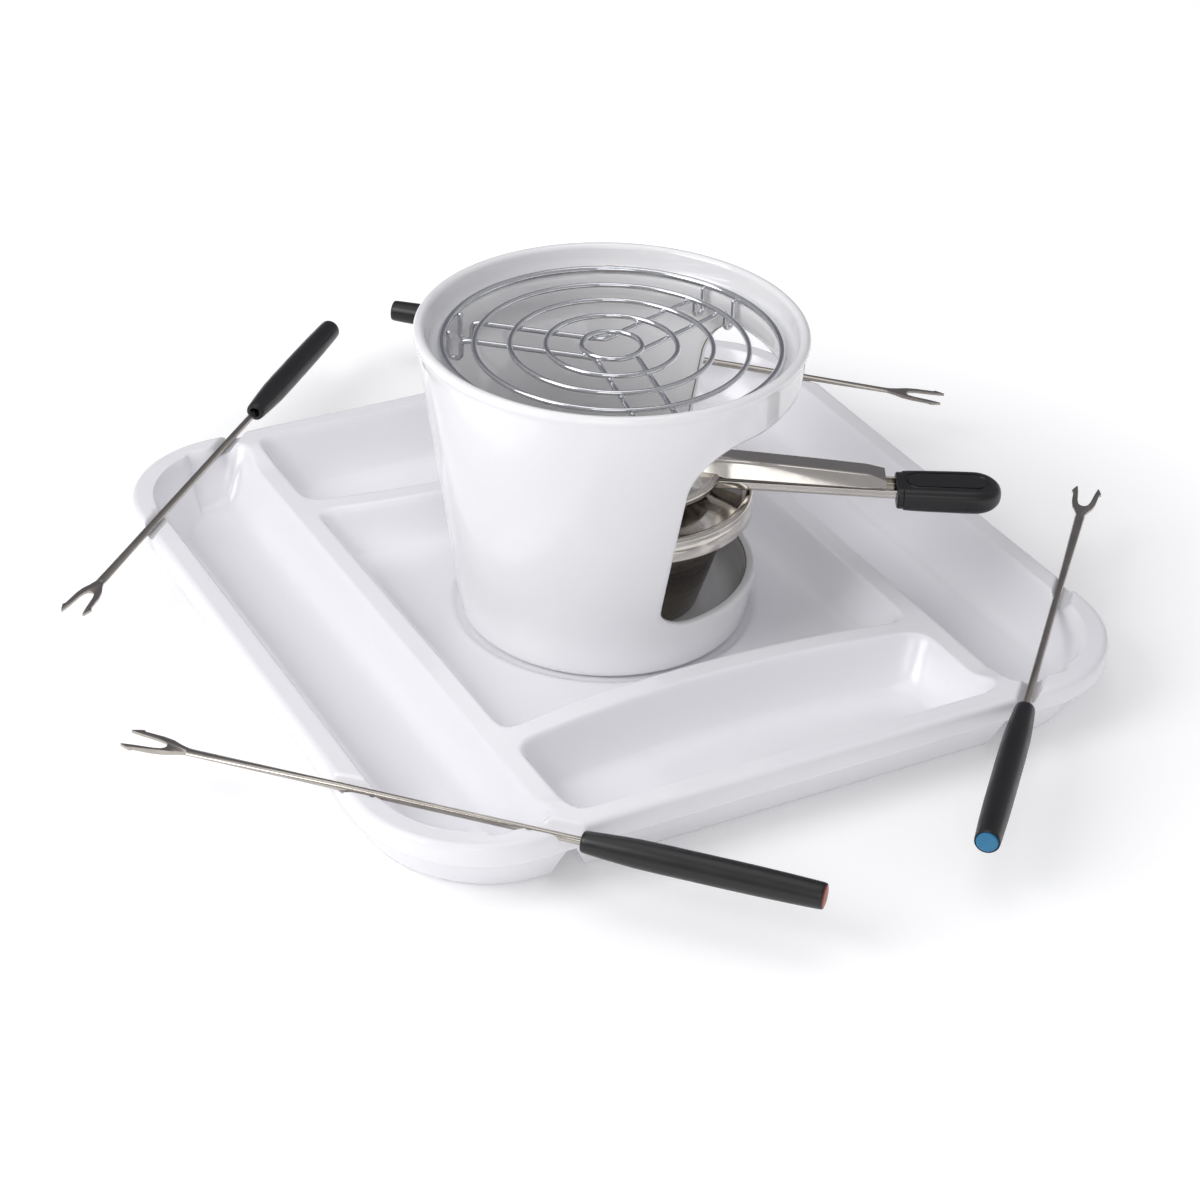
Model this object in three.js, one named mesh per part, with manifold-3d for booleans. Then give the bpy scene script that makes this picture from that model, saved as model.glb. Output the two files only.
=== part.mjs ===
// A fondue serving set: a divided square tray, a round ceramic burner stand with a side window,
// a chrome wire trivet in the stand's mouth, a spirit burner with its snuffer, and four forks.
// Millimetres, +Z up, origin at the centre of the tray's underside.
import * as THREE from "three";
import { mergeVertices } from "three/addons/utils/BufferGeometryUtils.js";
import Module from "manifold-3d";

const wasm = await Module();
wasm.setup();

// ---------------------------------------------------------------- sizes
const touchGap = 0.3; // between pieces that rest on or are fixed to each other

const tray = {
  side: 300,
  height: 24,
  cornerRadius: 47,
  rimWidth: 8.5,
  rimRound: 2,
  flangeHeight: 8.5,
  flangeOverhang: 4.5, // the turned-down flange stands this far outside the wall
  wallDraft: 4.5, // the wall leans out this much between the base and the flange
  floorThickness: 3,
  centreFloor: 4.5, // top of the centre basin's floor
  ridgeFromCentre: 88.5,
  ridgeWidth: 4,
  ridgeHeight: 20,
  ridgeBow: 9, // the two short ridges bend this much towards the middle
  ridgeBowEnd: 12, // a basin's wall this far in from the rim stays straight
  ridgeEndRun: 12, // length over which a ridge climbs to the rim
  ridgeEndInset: 20, // the climb starts this far inside the rim
  basinCorner: 5,
  basinRun: 11, // width of a basin's curved wall, seen from above
  archHeight: 12,
  archHalfWidth: 7,
  archTopHalfWidth: 0.8,
};

const recess = { clearance: 2.8, depth: 1.3 }; // round seat for the stand's foot

const stand = {
  yaw: -33, // degrees; the way the window faces
  footRadius: 54.7,
  rimRadius: 72.4,
  height: 118.1,
  wall: 4.2,
  floor: 4,
  edgeRound: 3.4,
  footRingWidth: 8,
  footHollow: 1.1,
  ledgeDepth: 8.9, // from the rim's top down to the trivet's ledge
  ledgeInset: 9.2, // from the outer surface in to the ledge's inner edge
  ledgeBand: 7,
  ledgeBlend: 12,
};

const windowCut = {
  bottom: 20.6, // above the stand's underside
  top: 98.6,
  halfAngleBottom: 64.5, // degrees
  halfAngleTop: 60.5,
  cornerAngle: 19,
  cornerHeight: 19,
  lowCornerAngle: 16,
  lowCornerHeight: 9,
};

const trivet = {
  yaw: 19, // degrees; the first pair of spokes
  ledgeCover: 0.3, // the outer ring's centre line lies this far outside the ledge's inner edge
  outerWire: 1.3, // wire radius
  wire: 1.0, // wire radius of the grid rings and the spokes
  rings: 4,
  innerRing: 11.1,
  outerGap: 11.9, // from the outer ring in to the largest grid ring
  spokeHalfPitch: 7.6,
  hookInset: 2.35, // the hooks' upright legs stand this far inside the outer ring's centre line
  hookDip: 7.6, // how far a hook hangs below the spokes
  hookWidth: 4.6,
  ringsBelowOuter: 1.0, // grid rings' centre below the outer ring's centre
};

const burner = {
  yaw: -30.3, // degrees; the way the handle points
  wallClearance: 2, // the burner stands towards the window, with this much left between collar and wall
  sheet: 1.2,
  baseRadius: 26.6,
  mouthRadius: 37,
  bowlHeight: 39.4,
  collarRadius: 45.3,
  collarHeight: 9,
  beadWidth: 3.4,
  coneFoot: 2.6, // the cone inside the bead starts this far below the bead's top
  coneRadius: 27.5, // where the cone meets the neck's foot
  coneRise: 3.4,
  neckRadius: 24,
  neckHeight: 7.8, // from the bead's top up to the mouth's edge
  fibreTopGap: 1.2,
  gauzeRadius: 33,
  gauzeThickness: 0.7,
};

const handle = {
  width: 11.4,
  height: 3.6,
  sheet: 1.1,
  innerEnd: 28, // from the burner's axis
  outerEnd: 118,
  rise: 1.9, // the inner end is this much higher than the grip's end
  aboveBead: -0.5, // the underside at the grip, from the bead's top
  gripStart: 98.5,
  gripLength: 39.6,
  gripWidth: 20,
  gripHeight: 9.6,
  gripBelow: 3.9, // the grip's underside below the channel's
  gripRound: 1.8,
};

const snuffer = {
  lidRadius: 33,
  skirt: 3.4,
  lidRise: 3.4,
  crownRadius: 9,
  sheet: 1.0,
  handleEnd: 94.2,
  handleTopWidth: 9,
  handleFootWidth: 16,
  handleAboveLower: 2.2,
  noseStart: 87.4,
  noseDrop: 3.2,
  outerHeight: 3.9, // height of the handle's trough where its nose starts
  innerHeight: 6.2, // and at the lid's edge
  crownHeight: 8.4, // and over the lid's crown
};

const fork = {
  length: 248,
  rodRadius: 1.4,
  handleLength: 82.5,
  handleRadius: 5,
  handleNeckRadius: 3.6,
  handleEndRadius: 4.5,
  rodInHandle: 30,
  capRadius: 3.9,
  capThickness: 1.8,
  headLength: 23.5,
  crotchDepth: 15.5,
  headThickness: 1.1,
  headHalfWidth: 4.9,
  rootHalfWidth: 1.5,
  tineWidth: 2.1,
};

const notch = { fromSide: 54.8, width: 8, depth: 3.4, round: 1.5 };

// One row for each fork: the corner it crosses, how far it is pushed along, and how it lies in its notches.
const forkPlaces = [
  { name: "fork_left", corner: [-1, 1], turn: 45, along: 20.5, aside: 1.0, skew: -0.6, cap: 0xb9b4ab },
  { name: "fork_front", corner: [-1, -1], turn: -45, along: 4.1, aside: -1.6, skew: -1.4, cap: 0xb0563a },
  { name: "fork_right", corner: [1, -1], turn: -135, along: 6.0, aside: -1.0, skew: 1.0, cap: 0x2a7fa5 },
  { name: "fork_back", corner: [1, 1], turn: 135, along: 26.9, aside: -2.0, skew: 0.4, cap: 0xd8d5cf },
];

// ---------------------------------------------------------------- materials
function finish(color, roughness, metalness) {
  return new THREE.MeshStandardMaterial({ color, roughness, metalness });
}
const whiteMelamine = finish(0xf1f1f0, 0.22, 0);
const whiteGlaze = finish(0xf4f4f3, 0.12, 0);
const chromeWire = finish(0xc9ccd0, 0.12, 1);
const steelSheet = finish(0xc4c0ba, 0.2, 1);
const steelBowl = finish(0x6e6a66, 0.35, 1);
const gauzeSteel = finish(0x8b8884, 0.5, 1);
const fibreWool = finish(0xe6e2d8, 0.95, 0);
const blackPlastic = finish(0x17181a, 0.45, 0);

// ---------------------------------------------------------------- solids and booleans
const degrees = THREE.MathUtils.degToRad;

function solidOf(geometry) {
  const bare = geometry.index ? geometry.toNonIndexed() : geometry.clone();
  bare.deleteAttribute("normal");
  bare.deleteAttribute("uv");
  const merged = mergeVertices(bare, 1e-3);
  const mesh = new wasm.Mesh({
    numProp: 3,
    vertProperties: merged.attributes.position.array,
    triVerts: new Uint32Array(merged.index.array),
  });
  return new wasm.Manifold(mesh);
}

function geometryOf(solid) {
  const mesh = solid.getMesh();
  const geometry = new THREE.BufferGeometry();
  geometry.setAttribute("position", new THREE.BufferAttribute(mesh.vertProperties, 3));
  geometry.setIndex(new THREE.BufferAttribute(mesh.triVerts, 1));
  return geometry;
}

function cutAway(geometry, cutters) {
  let solid = solidOf(geometry);
  for (const cutter of cutters) {
    solid = solid.subtract(solidOf(cutter));
  }
  return geometryOf(solid);
}

function joined(geometries) {
  let solid = solidOf(geometries[0]);
  for (const geometry of geometries.slice(1)) {
    solid = solid.add(solidOf(geometry));
  }
  return geometryOf(solid);
}

// A solid of revolution about Z from a profile of [radius, height] points.
function turned(profile, segments) {
  const points = profile.map(([radius, height]) => new THREE.Vector2(radius, height));
  return new THREE.LatheGeometry(points, segments).rotateX(Math.PI / 2);
}

// Points of an arc in a profile, from one angle to another, in degrees.
function arcPoints(centreX, centreY, radiusX, radiusY, from, to, steps) {
  const points = [];
  for (let i = 0; i <= steps; i++) {
    const angle = degrees(from + ((to - from) * i) / steps);
    points.push([centreX + radiusX * Math.cos(angle), centreY + radiusY * Math.sin(angle)]);
  }
  return points;
}

// A rectangle with a corner radius of its own at each corner: right-top, left-top, left-low, right-low.
// Points along the two sides that run with X let those sides be bent.
function roundedOutline(minX, maxX, minY, maxY, radii, steps, sidePoints = 0) {
  const corners = [
    [maxX - radii[0], maxY - radii[0], 0],
    [minX + radii[1], maxY - radii[1], 90],
    [minX + radii[2], minY + radii[2], 180],
    [maxX - radii[3], minY + radii[3], 270],
  ];
  return corners.flatMap(([x, y, start], i) => {
    const points = arcPoints(x, y, radii[i], radii[i], start, start + 90, steps);
    const end = points[steps];
    const nextX = i === 0 ? corners[1][0] : corners[3][0];
    for (let k = 1; k <= sidePoints && i % 2 === 0; k++) {
      points.push([end[0] + ((nextX - end[0]) * k) / (sidePoints + 1), end[1]]);
    }
    return points;
  });
}

// A closed solid through sections with the same number of points, each a list of [x, y, z].
// The end caps are fans for a convex outline; any other outline is cut into triangles in the plane it is given in.
function lofted(sections, convex = true, level = false) {
  const count = sections[0].length;
  const positions = sections.flat(2);
  const index = [];
  for (let s = 0; s + 1 < sections.length; s++) {
    for (let i = 0; i < count; i++) {
      const next = (i + 1) % count;
      const low = s * count;
      const high = low + count;
      index.push(low + i, low + next, high + next, low + i, high + next, high + i);
    }
  }
  const flat = sections[0].map(([x, y, z]) => (level ? new THREE.Vector2(x, y) : new THREE.Vector2(y, z)));
  const fan = sections[0].slice(2).map((point, i) => [0, i + 1, i + 2]);
  const top = (sections.length - 1) * count;
  for (const [a, b, c] of convex ? fan : THREE.ShapeUtils.triangulateShape(flat, [])) {
    index.push(c, b, a, top + a, top + b, top + c);
  }
  const geometry = new THREE.BufferGeometry();
  geometry.setAttribute("position", new THREE.Float32BufferAttribute(positions, 3));
  geometry.setIndex(index);
  return geometry;
}

// A stack of rounded rectangles; each level is [height, inset].
function stackedOutline(box, radii, levels, steps) {
  const [minX, maxX, minY, maxY] = box;
  return lofted(
    levels.map(([height, inset]) => {
      const tight = radii.map((radius) => Math.max(radius - inset, 2));
      const outline = roundedOutline(minX + inset, maxX - inset, minY + inset, maxY - inset, tight, steps);
      return outline.map(([x, y]) => [x, y, height]);
    }),
  );
}

// ---------------------------------------------------------------- tray
const halfSide = tray.side / 2;
const rimInner = halfSide - tray.rimWidth;
const ridgeInner = tray.ridgeFromCentre - tray.ridgeWidth / 2;
const ridgeOuter = tray.ridgeFromCentre + tray.ridgeWidth / 2;
const aboveTray = tray.height + 6;
const seatFloor = tray.centreFloor - recess.depth;

// Bends what lies between the short basins towards the tray's middle.
function bowedY(x, y) {
  const straightFrom = rimInner - tray.ridgeBowEnd;
  const fadeFrom = straightFrom - 20;
  const fade = THREE.MathUtils.clamp((straightFrom - Math.abs(y)) / (straightFrom - fadeFrom), 0, 1);
  const share = Math.max(1 - (x / ridgeInner) ** 2, 0) * fade;
  return y - Math.sign(y) * tray.ridgeBow * share;
}

// The space of one basin: a flat floor, a wall that curves up to vertical, open above the rim.
function basinSpace(box, radii, floor, bowed = false) {
  const depth = tray.height - floor;
  const levels = [];
  const steps = 4;
  for (let i = 0; i <= steps; i++) {
    const angle = (Math.PI / 2) * (i / steps);
    levels.push([floor + depth * (1 - Math.cos(angle)), tray.basinRun * (1 - Math.sin(angle))]);
  }
  levels.push([aboveTray, 0]);
  if (!bowed) return stackedOutline(box, radii, levels, 4);
  const [minX, maxX, minY, maxY] = box;
  const sections = levels.map(([height, inset]) => {
    const tight = radii.map((radius) => Math.max(radius - inset, 2));
    const outline = roundedOutline(minX + inset, maxX - inset, minY + inset, maxY - inset, tight, 4, 11);
    return outline.map(([x, y]) => [x, bowedY(x, y), height]);
  });
  return lofted(sections, false, true);
}

function trayGeometry() {
  const full = [-halfSide, halfSide, -halfSide, halfSide];
  const corner = [1, 1, 1, 1].map(() => tray.cornerRadius);
  const flangeFoot = tray.height - tray.flangeHeight;
  const wallTop = tray.flangeOverhang;
  const wallFoot = tray.flangeOverhang + tray.wallDraft;
  const body = stackedOutline(
    full,
    corner,
    [
      [0, wallFoot + 1.5],
      [1.5, wallFoot],
      [flangeFoot, wallTop],
      [flangeFoot, 0.6],
      [flangeFoot + 1, 0],
      [tray.height - tray.rimRound, 0],
      [tray.height - tray.rimRound * 0.3, tray.rimRound * 0.3],
      [tray.height, tray.rimRound],
    ],
    8,
  );

  const wide = tray.cornerRadius - tray.rimWidth;
  const small = tray.basinCorner;
  const cutters = [
    basinSpace([-rimInner, -ridgeOuter, -rimInner, rimInner], [small, wide, wide, small], tray.floorThickness),
    basinSpace([ridgeOuter, rimInner, -rimInner, rimInner], [wide, small, small, wide], tray.floorThickness),
    basinSpace([-ridgeInner, ridgeInner, -rimInner, -ridgeOuter], [small, small, small, small], tray.floorThickness, true),
    basinSpace([-ridgeInner, ridgeInner, ridgeOuter, rimInner], [small, small, small, small], tray.floorThickness, true),
    basinSpace([-ridgeInner, ridgeInner, -ridgeInner, ridgeInner], [small, small, small, small], tray.centreFloor, true),
  ];

  // The ridges are lower than the rim between their ends.
  const dropRun = tray.ridgeEndRun * ((aboveTray - tray.ridgeHeight) / (tray.height - tray.ridgeHeight));
  const dropHalf = rimInner - tray.ridgeEndInset + dropRun;
  cutters.push(
    stackedOutline(
      [-dropHalf, dropHalf, -dropHalf, dropHalf],
      [1, 1, 1, 1].map(() => wide),
      [
        [tray.ridgeHeight, dropRun],
        [aboveTray, 0],
      ],
      5,
    ),
  );

  // The underside is hollow along each ridge and opens as an arch through the wall.
  const hollow = new THREE.Shape([
    new THREE.Vector2(-tray.archHalfWidth - 1, -1),
    new THREE.Vector2(tray.archHalfWidth + 1, -1),
    new THREE.Vector2(tray.archTopHalfWidth, tray.archHeight),
    new THREE.Vector2(-tray.archTopHalfWidth, tray.archHeight),
  ]);
  for (const side of [-1, 1]) {
    const long = new THREE.ExtrudeGeometry(hollow, { depth: tray.side + 20, bevelEnabled: false });
    long.rotateX(Math.PI / 2).translate(side * tray.ridgeFromCentre, halfSide + 10, 0);
    const short = new THREE.ExtrudeGeometry(hollow, { depth: 2 * tray.ridgeFromCentre, steps: 14, bevelEnabled: false });
    short.rotateX(Math.PI / 2).rotateZ(Math.PI / 2);
    short.translate(-tray.ridgeFromCentre, side * tray.ridgeFromCentre, 0);
    const places = short.attributes.position;
    for (let i = 0; i < places.count; i++) {
      places.setY(i, bowedY(places.getX(i), places.getY(i)));
    }
    cutters.push(long, short);
  }

  // Round seat for the stand's foot.
  const seatRadius = stand.footRadius + recess.clearance;
  cutters.push(
    turned(
      [
        [0, seatFloor],
        [seatRadius - 0.6, seatFloor],
        [seatRadius, tray.centreFloor + 1],
        [0, tray.centreFloor + 1],
      ],
      48,
    ),
  );

  // Two notches across each corner for the fork rods.
  const notchShape = new THREE.Shape();
  const halfNotch = notch.width / 2;
  notchShape.moveTo(-halfNotch, 10);
  notchShape.lineTo(-halfNotch, notch.round);
  notchShape.absarc(-halfNotch + notch.round, notch.round, notch.round, Math.PI, 1.5 * Math.PI, false);
  notchShape.absarc(halfNotch - notch.round, notch.round, notch.round, 1.5 * Math.PI, 2 * Math.PI, false);
  notchShape.lineTo(halfNotch, 10);
  const notchLength = 26;
  const rimMiddle = halfSide - tray.rimWidth / 2;
  const notchFromCentre = halfSide - notch.fromSide;
  for (const place of forkPlaces) {
    const [sideX, sideY] = place.corner;
    const spots = [
      [sideX * notchFromCentre, sideY * rimMiddle],
      [sideX * rimMiddle, sideY * notchFromCentre],
    ];
    for (const [x, y] of spots) {
      const cutter = new THREE.ExtrudeGeometry(notchShape, {
        depth: notchLength,
        bevelEnabled: false,
        curveSegments: 3,
      });
      cutter.translate(0, 0, -notchLength / 2).rotateX(Math.PI / 2);
      cutter.rotateZ(degrees(place.turn + 90)).translate(x, y, tray.height - notch.depth);
      cutters.push(cutter);
    }
  }
  return cutAway(body, cutters);
}

// ---------------------------------------------------------------- stand
const standFoot = seatFloor + touchGap;
const standTop = standFoot + stand.height;
const standTaper = (stand.rimRadius - stand.footRadius) / stand.height;
const ledgeTop = stand.height - stand.ledgeDepth; // above the stand's underside

function standOuter(height) {
  return stand.footRadius + standTaper * height;
}

const ledgeInner = standOuter(ledgeTop) - stand.ledgeInset;

function standGeometry() {
  const round = stand.edgeRound;
  const ringInner = stand.footRadius - round - stand.footRingWidth;
  const lip = stand.wall / 2;
  const floorTop = stand.floor;
  const bandFoot = ledgeTop - stand.ledgeBand;
  const blendFoot = bandFoot - stand.ledgeBlend;
  const floorRound = 7;
  const innerFoot = standOuter(floorTop + floorRound) - stand.wall;
  const profile = [
    [0, stand.footHollow],
    [ringInner - 1, stand.footHollow],
    [ringInner, 0],
    [stand.footRadius - round, 0],
    ...arcPoints(standOuter(round) - round, round, round, round, -60, 0, 3),
    ...arcPoints(stand.rimRadius - lip, stand.height - lip, lip, lip, 0, 180, 6),
    [standOuter(ledgeTop + 1) - stand.wall, ledgeTop + 1],
    [standOuter(ledgeTop) - stand.wall - 0.8, ledgeTop],
    [ledgeInner + 0.8, ledgeTop],
    [ledgeInner, ledgeTop - 0.8],
    [ledgeInner, bandFoot],
    [standOuter(blendFoot) - stand.wall, blendFoot],
    ...arcPoints(innerFoot - floorRound, floorTop + floorRound, floorRound, floorRound, 0, -90, 3),
    [0, floorTop],
  ];
  const shell = turned(profile, 64);

  // The window's outline as angle and height, carried out from the axis along radial lines.
  const low = windowCut;
  const outline = [
    ...arcPoints(
      low.halfAngleTop - low.cornerAngle,
      low.top - low.cornerHeight,
      low.cornerAngle,
      low.cornerHeight,
      0,
      90,
      6,
    ),
    ...arcPoints(
      -low.halfAngleTop + low.cornerAngle,
      low.top - low.cornerHeight,
      low.cornerAngle,
      low.cornerHeight,
      90,
      180,
      6,
    ),
    ...arcPoints(
      -low.halfAngleBottom + low.lowCornerAngle,
      low.bottom + low.lowCornerHeight,
      low.lowCornerAngle,
      low.lowCornerHeight,
      180,
      270,
      4,
    ),
    ...arcPoints(
      low.halfAngleBottom - low.lowCornerAngle,
      low.bottom + low.lowCornerHeight,
      low.lowCornerAngle,
      low.lowCornerHeight,
      270,
      360,
      4,
    ),
  ];
  const flatSection = (reach) => {
    return outline.map(([angle, height]) => [reach, reach * Math.tan(degrees(angle)), height]);
  };
  const roundSection = (radius) => {
    return outline.map(([angle, height]) => {
      return [radius * Math.cos(degrees(angle)), radius * Math.sin(degrees(angle)), height];
    });
  };
  const sections = [flatSection(20)];
  for (let i = 0; i <= 5; i++) {
    sections.push(roundSection(stand.footRadius - 5 + 5 * i));
  }
  sections.push(flatSection(stand.rimRadius + 15));
  return cutAway(shell, [lofted(sections, false)]);
}

// ---------------------------------------------------------------- trivet
const outerRingHeight = ledgeTop + touchGap + trivet.outerWire; // above the stand's underside
const gridHeight = outerRingHeight - trivet.ringsBelowOuter;
const spokeHeight = gridHeight - 2 * trivet.wire - touchGap;
const outerRingRadius = ledgeInner + trivet.ledgeCover;
const ringStep = (outerRingRadius - trivet.outerGap - trivet.innerRing) / (trivet.rings - 1);

function ringGeometry(radius, wire, sides, segments) {
  return new THREE.TorusGeometry(radius, wire, sides, segments);
}

// Half of one bent spoke wire, from the bend near the middle out to the hook that hangs on the outer ring.
function spokeHalf(direction, aside) {
  const along = new THREE.Vector3(Math.cos(direction), Math.sin(direction), 0);
  const across = new THREE.Vector3(-along.y, along.x, 0).multiplyScalar(aside);
  const reach = (radius) => Math.sqrt(radius * radius - aside * aside);
  const legOut = reach(outerRingRadius - trivet.hookInset);
  const legIn = legOut - trivet.hookWidth;
  const low = spokeHeight - trivet.hookDip;
  const legTop = outerRingHeight - 0.6;
  const stations = [
    [16, spokeHeight],
    [legIn - 3, spokeHeight],
    [legIn - 0.6, spokeHeight - 0.9],
    [legIn, spokeHeight - 3],
    [legIn + 0.2, low + 1.4],
    [(legIn + legOut) / 2, low],
    [legOut - 0.2, low + 1.4],
    [legOut, spokeHeight - 3],
    [legOut, legTop],
  ];
  return stations.map(([distance, height]) => along.clone().multiplyScalar(distance).add(across).setZ(height));
}

function spokeWireGeometry(number) {
  const first = degrees(trivet.yaw - stand.yaw + 120 * number);
  const second = first + degrees(120);
  const startHalf = spokeHalf(first, trivet.spokeHalfPitch).reverse();
  const endHalf = spokeHalf(second, -trivet.spokeHalfPitch);
  const middle = (first + second) / 2;
  const bendRadius = trivet.spokeHalfPitch / Math.sin(degrees(60)) + 0.6;
  const bend = new THREE.Vector3(bendRadius * Math.cos(middle), bendRadius * Math.sin(middle), spokeHeight);
  const path = new THREE.CatmullRomCurve3([...startHalf, bend, ...endHalf], false, "centripetal");
  const section = new THREE.Shape().absarc(0, 0, trivet.wire, 0, 2 * Math.PI, false);
  return new THREE.ExtrudeGeometry(section, { steps: 56, extrudePath: path, curveSegments: 4 });
}

// ---------------------------------------------------------------- burner
const burnerFoot = stand.floor + touchGap; // above the stand's underside
const collarFoot = burner.bowlHeight + touchGap;
const collarTop = collarFoot + burner.collarHeight;
const burnerOffset = standOuter(burnerFoot + collarFoot) - stand.wall - burner.wallClearance - burner.collarRadius;

function bowlGeometry() {
  const sheet = burner.sheet;
  const flange = burner.collarRadius - sheet - touchGap;
  return turned(
    [
      [0, 0.8],
      [burner.baseRadius - 6, 0.8],
      [burner.baseRadius - 5, 0],
      [burner.baseRadius - 1.5, 0],
      [burner.baseRadius, 1.5],
      [burner.mouthRadius, burner.bowlHeight - 1.2],
      [flange, burner.bowlHeight],
      [flange, burner.bowlHeight + sheet],
      [burner.mouthRadius - sheet, burner.bowlHeight],
      [burner.baseRadius - sheet, 2.4],
      [burner.baseRadius - 2.4, 0.8 + sheet],
      [0, 0.8 + sheet],
    ],
    48,
  );
}

function fibreGeometry() {
  const lift = 0.8 + burner.sheet + touchGap;
  const top = burner.bowlHeight - burner.fibreTopGap;
  const slope = (burner.mouthRadius - burner.baseRadius) / (burner.bowlHeight - 2.7);
  const clearance = burner.sheet + 0.8;
  const low = lift + 1;
  return turned(
    [
      [0, lift],
      [burner.baseRadius - clearance - 1.4, lift],
      [burner.baseRadius - clearance + slope * (low - 1.5), low],
      [burner.baseRadius - clearance + slope * (top - 2.2), top],
      [0, top],
    ],
    32,
  );
}

function gauzeGeometry() {
  const low = burner.bowlHeight - burner.fibreTopGap + touchGap;
  const gauze = new THREE.CylinderGeometry(burner.gauzeRadius, burner.gauzeRadius, burner.gauzeThickness, 32);
  return gauze.rotateX(Math.PI / 2).translate(0, 0, low + burner.gauzeThickness / 2);
}

const mouthTop = collarTop + burner.neckHeight;

function collarGeometry() {
  const sheet = burner.sheet;
  const outer = burner.collarRadius;
  const bead = burner.beadWidth;
  const low = collarTop - burner.coneFoot;
  const high = low + burner.coneRise;
  const neck = burner.neckRadius;
  const slope = sheet * 1.05;
  return turned(
    [
      [outer, collarFoot],
      [outer, collarTop - 1.3],
      [outer - 0.9, collarTop - 0.3],
      [outer - bead / 2, collarTop],
      [outer - bead, collarTop - 0.8],
      [outer - bead - 0.9, low],
      [burner.coneRadius, high],
      [neck + 0.6, high + 1.4],
      [neck, high + 2.6],
      [neck, mouthTop],
      [neck - sheet, mouthTop],
      [neck - sheet, high + 1.4],
      [burner.coneRadius - 1, high - slope],
      [outer - bead - 1.2, low - slope],
      [outer - bead - 0.4, low - slope + 0.2],
      [outer - bead + 0.4, collarTop - sheet - 0.6],
      [outer - sheet, collarTop - sheet - 1],
      [outer - sheet, collarFoot],
      [outer, collarFoot],
    ],
    40,
  );
}

const handleFoot = collarTop + handle.aboveBead; // the channel's underside at the grip
const handleInnerFoot = handleFoot + handle.rise;

// The lower handle: an upright channel of folded sheet from the cone inside the bead out to the grip.
function lowerHandleGeometry() {
  const half = handle.width / 2;
  const sheet = handle.sheet;
  const sectionAt = (distance, foot) => {
    const points = [
      [-half + 0.8, 0],
      [half - 0.8, 0],
      [half, 0.8],
      [half, handle.height],
      [half - sheet, handle.height],
      [half - sheet, sheet],
      [-half + sheet, sheet],
      [-half + sheet, handle.height],
      [-half, handle.height],
      [-half, 0.8],
    ];
    return points.map(([across, up]) => [distance, across, foot + up]);
  };
  return lofted(
    [
      sectionAt(handle.innerEnd, handleInnerFoot),
      sectionAt(handle.gripStart - 2, handleFoot),
      sectionAt(handle.outerEnd, handleFoot),
    ],
    false,
  );
}

function gripGeometry() {
  const half = handle.gripWidth / 2;
  const round = handle.gripRound;
  const end = handle.gripStart + handle.gripLength;
  const outline = new THREE.Shape();
  outline.moveTo(handle.gripStart + round, -half + round);
  outline.absellipse(end - half, 0, half - round, half - round, -Math.PI / 2, Math.PI / 2, false, 0);
  outline.lineTo(handle.gripStart + round, half - round);
  const block = new THREE.ExtrudeGeometry(outline, {
    depth: handle.gripHeight - 2 * round,
    bevelThickness: round,
    bevelSize: round,
    bevelSegments: 2,
    curveSegments: 8,
  });
  block.translate(0, 0, handleFoot - handle.gripBelow + round);
  const pocketLength = handle.outerEnd - handle.gripStart + touchGap + 5;
  const pocket = new THREE.BoxGeometry(
    pocketLength,
    handle.width + 2 * touchGap,
    handle.height + 2 * touchGap,
  );
  pocket.translate(handle.outerEnd + touchGap - pocketLength / 2, 0, handleFoot + handle.height / 2);
  return cutAway(block, [pocket]);
}

// The lid's flat underside rests on the mouth's edge.
const lidFoot = mouthTop + touchGap + snuffer.sheet - snuffer.skirt;
const lidRimTop = lidFoot + snuffer.skirt;
const lidCrown = lidRimTop + snuffer.lidRise;

function lidGeometry() {
  const sheet = snuffer.sheet;
  return turned(
    [
      [0, lidCrown - sheet],
      [snuffer.crownRadius, lidCrown - sheet],
      [burner.neckRadius - 2, lidRimTop - sheet],
      [snuffer.lidRadius - sheet, lidRimTop - sheet],
      [snuffer.lidRadius - sheet, lidFoot],
      [snuffer.lidRadius, lidFoot],
      [snuffer.lidRadius, lidRimTop - 0.9],
      [snuffer.lidRadius - 0.9, lidRimTop],
      [snuffer.crownRadius, lidCrown],
      [0, lidCrown],
    ],
    40,
  );
}

// The snuffer's handle: an inverted trough over the lower handle, its inner end lying on the lid.
function snufferHandleGeometry() {
  const top = snuffer.handleTopWidth / 2;
  const foot = snuffer.handleFootWidth / 2;
  const sheet = snuffer.sheet;
  const sectionAt = (distance, low, height) => {
    const points = [
      [-foot, 0],
      [-foot + sheet * 1.3, 0],
      [-top + sheet * 0.4, height - sheet],
      [top - sheet * 0.4, height - sheet],
      [foot - sheet * 1.3, 0],
      [foot, 0],
      [top + 0.4, height - 0.6],
      [top - 0.5, height],
      [-top + 0.5, height],
      [-top - 0.4, height - 0.6],
    ];
    return points.map(([across, up]) => [distance, across, low + up]);
  };
  const outerLow = handleFoot + handle.height + snuffer.handleAboveLower;
  const innerLow = outerLow + handle.rise;
  const trough = lofted(
    [
      sectionAt(snuffer.crownRadius - 2, innerLow, snuffer.crownHeight),
      sectionAt(snuffer.lidRadius + 10, innerLow, snuffer.innerHeight),
      sectionAt(snuffer.noseStart, outerLow, snuffer.outerHeight),
      sectionAt(snuffer.handleEnd, outerLow, snuffer.outerHeight - snuffer.noseDrop + sheet),
    ],
    false,
  );
  const clear = snuffer.lidRadius + 2 * touchGap;
  const lidSpace = turned(
    [
      [0, lidFoot - 5],
      [clear, lidFoot - 5],
      [clear, lidRimTop + touchGap],
      [snuffer.crownRadius + touchGap, lidCrown + touchGap],
      [0, lidCrown + touchGap],
    ],
    40,
  );
  return cutAway(trough, [lidSpace]);
}

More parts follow.
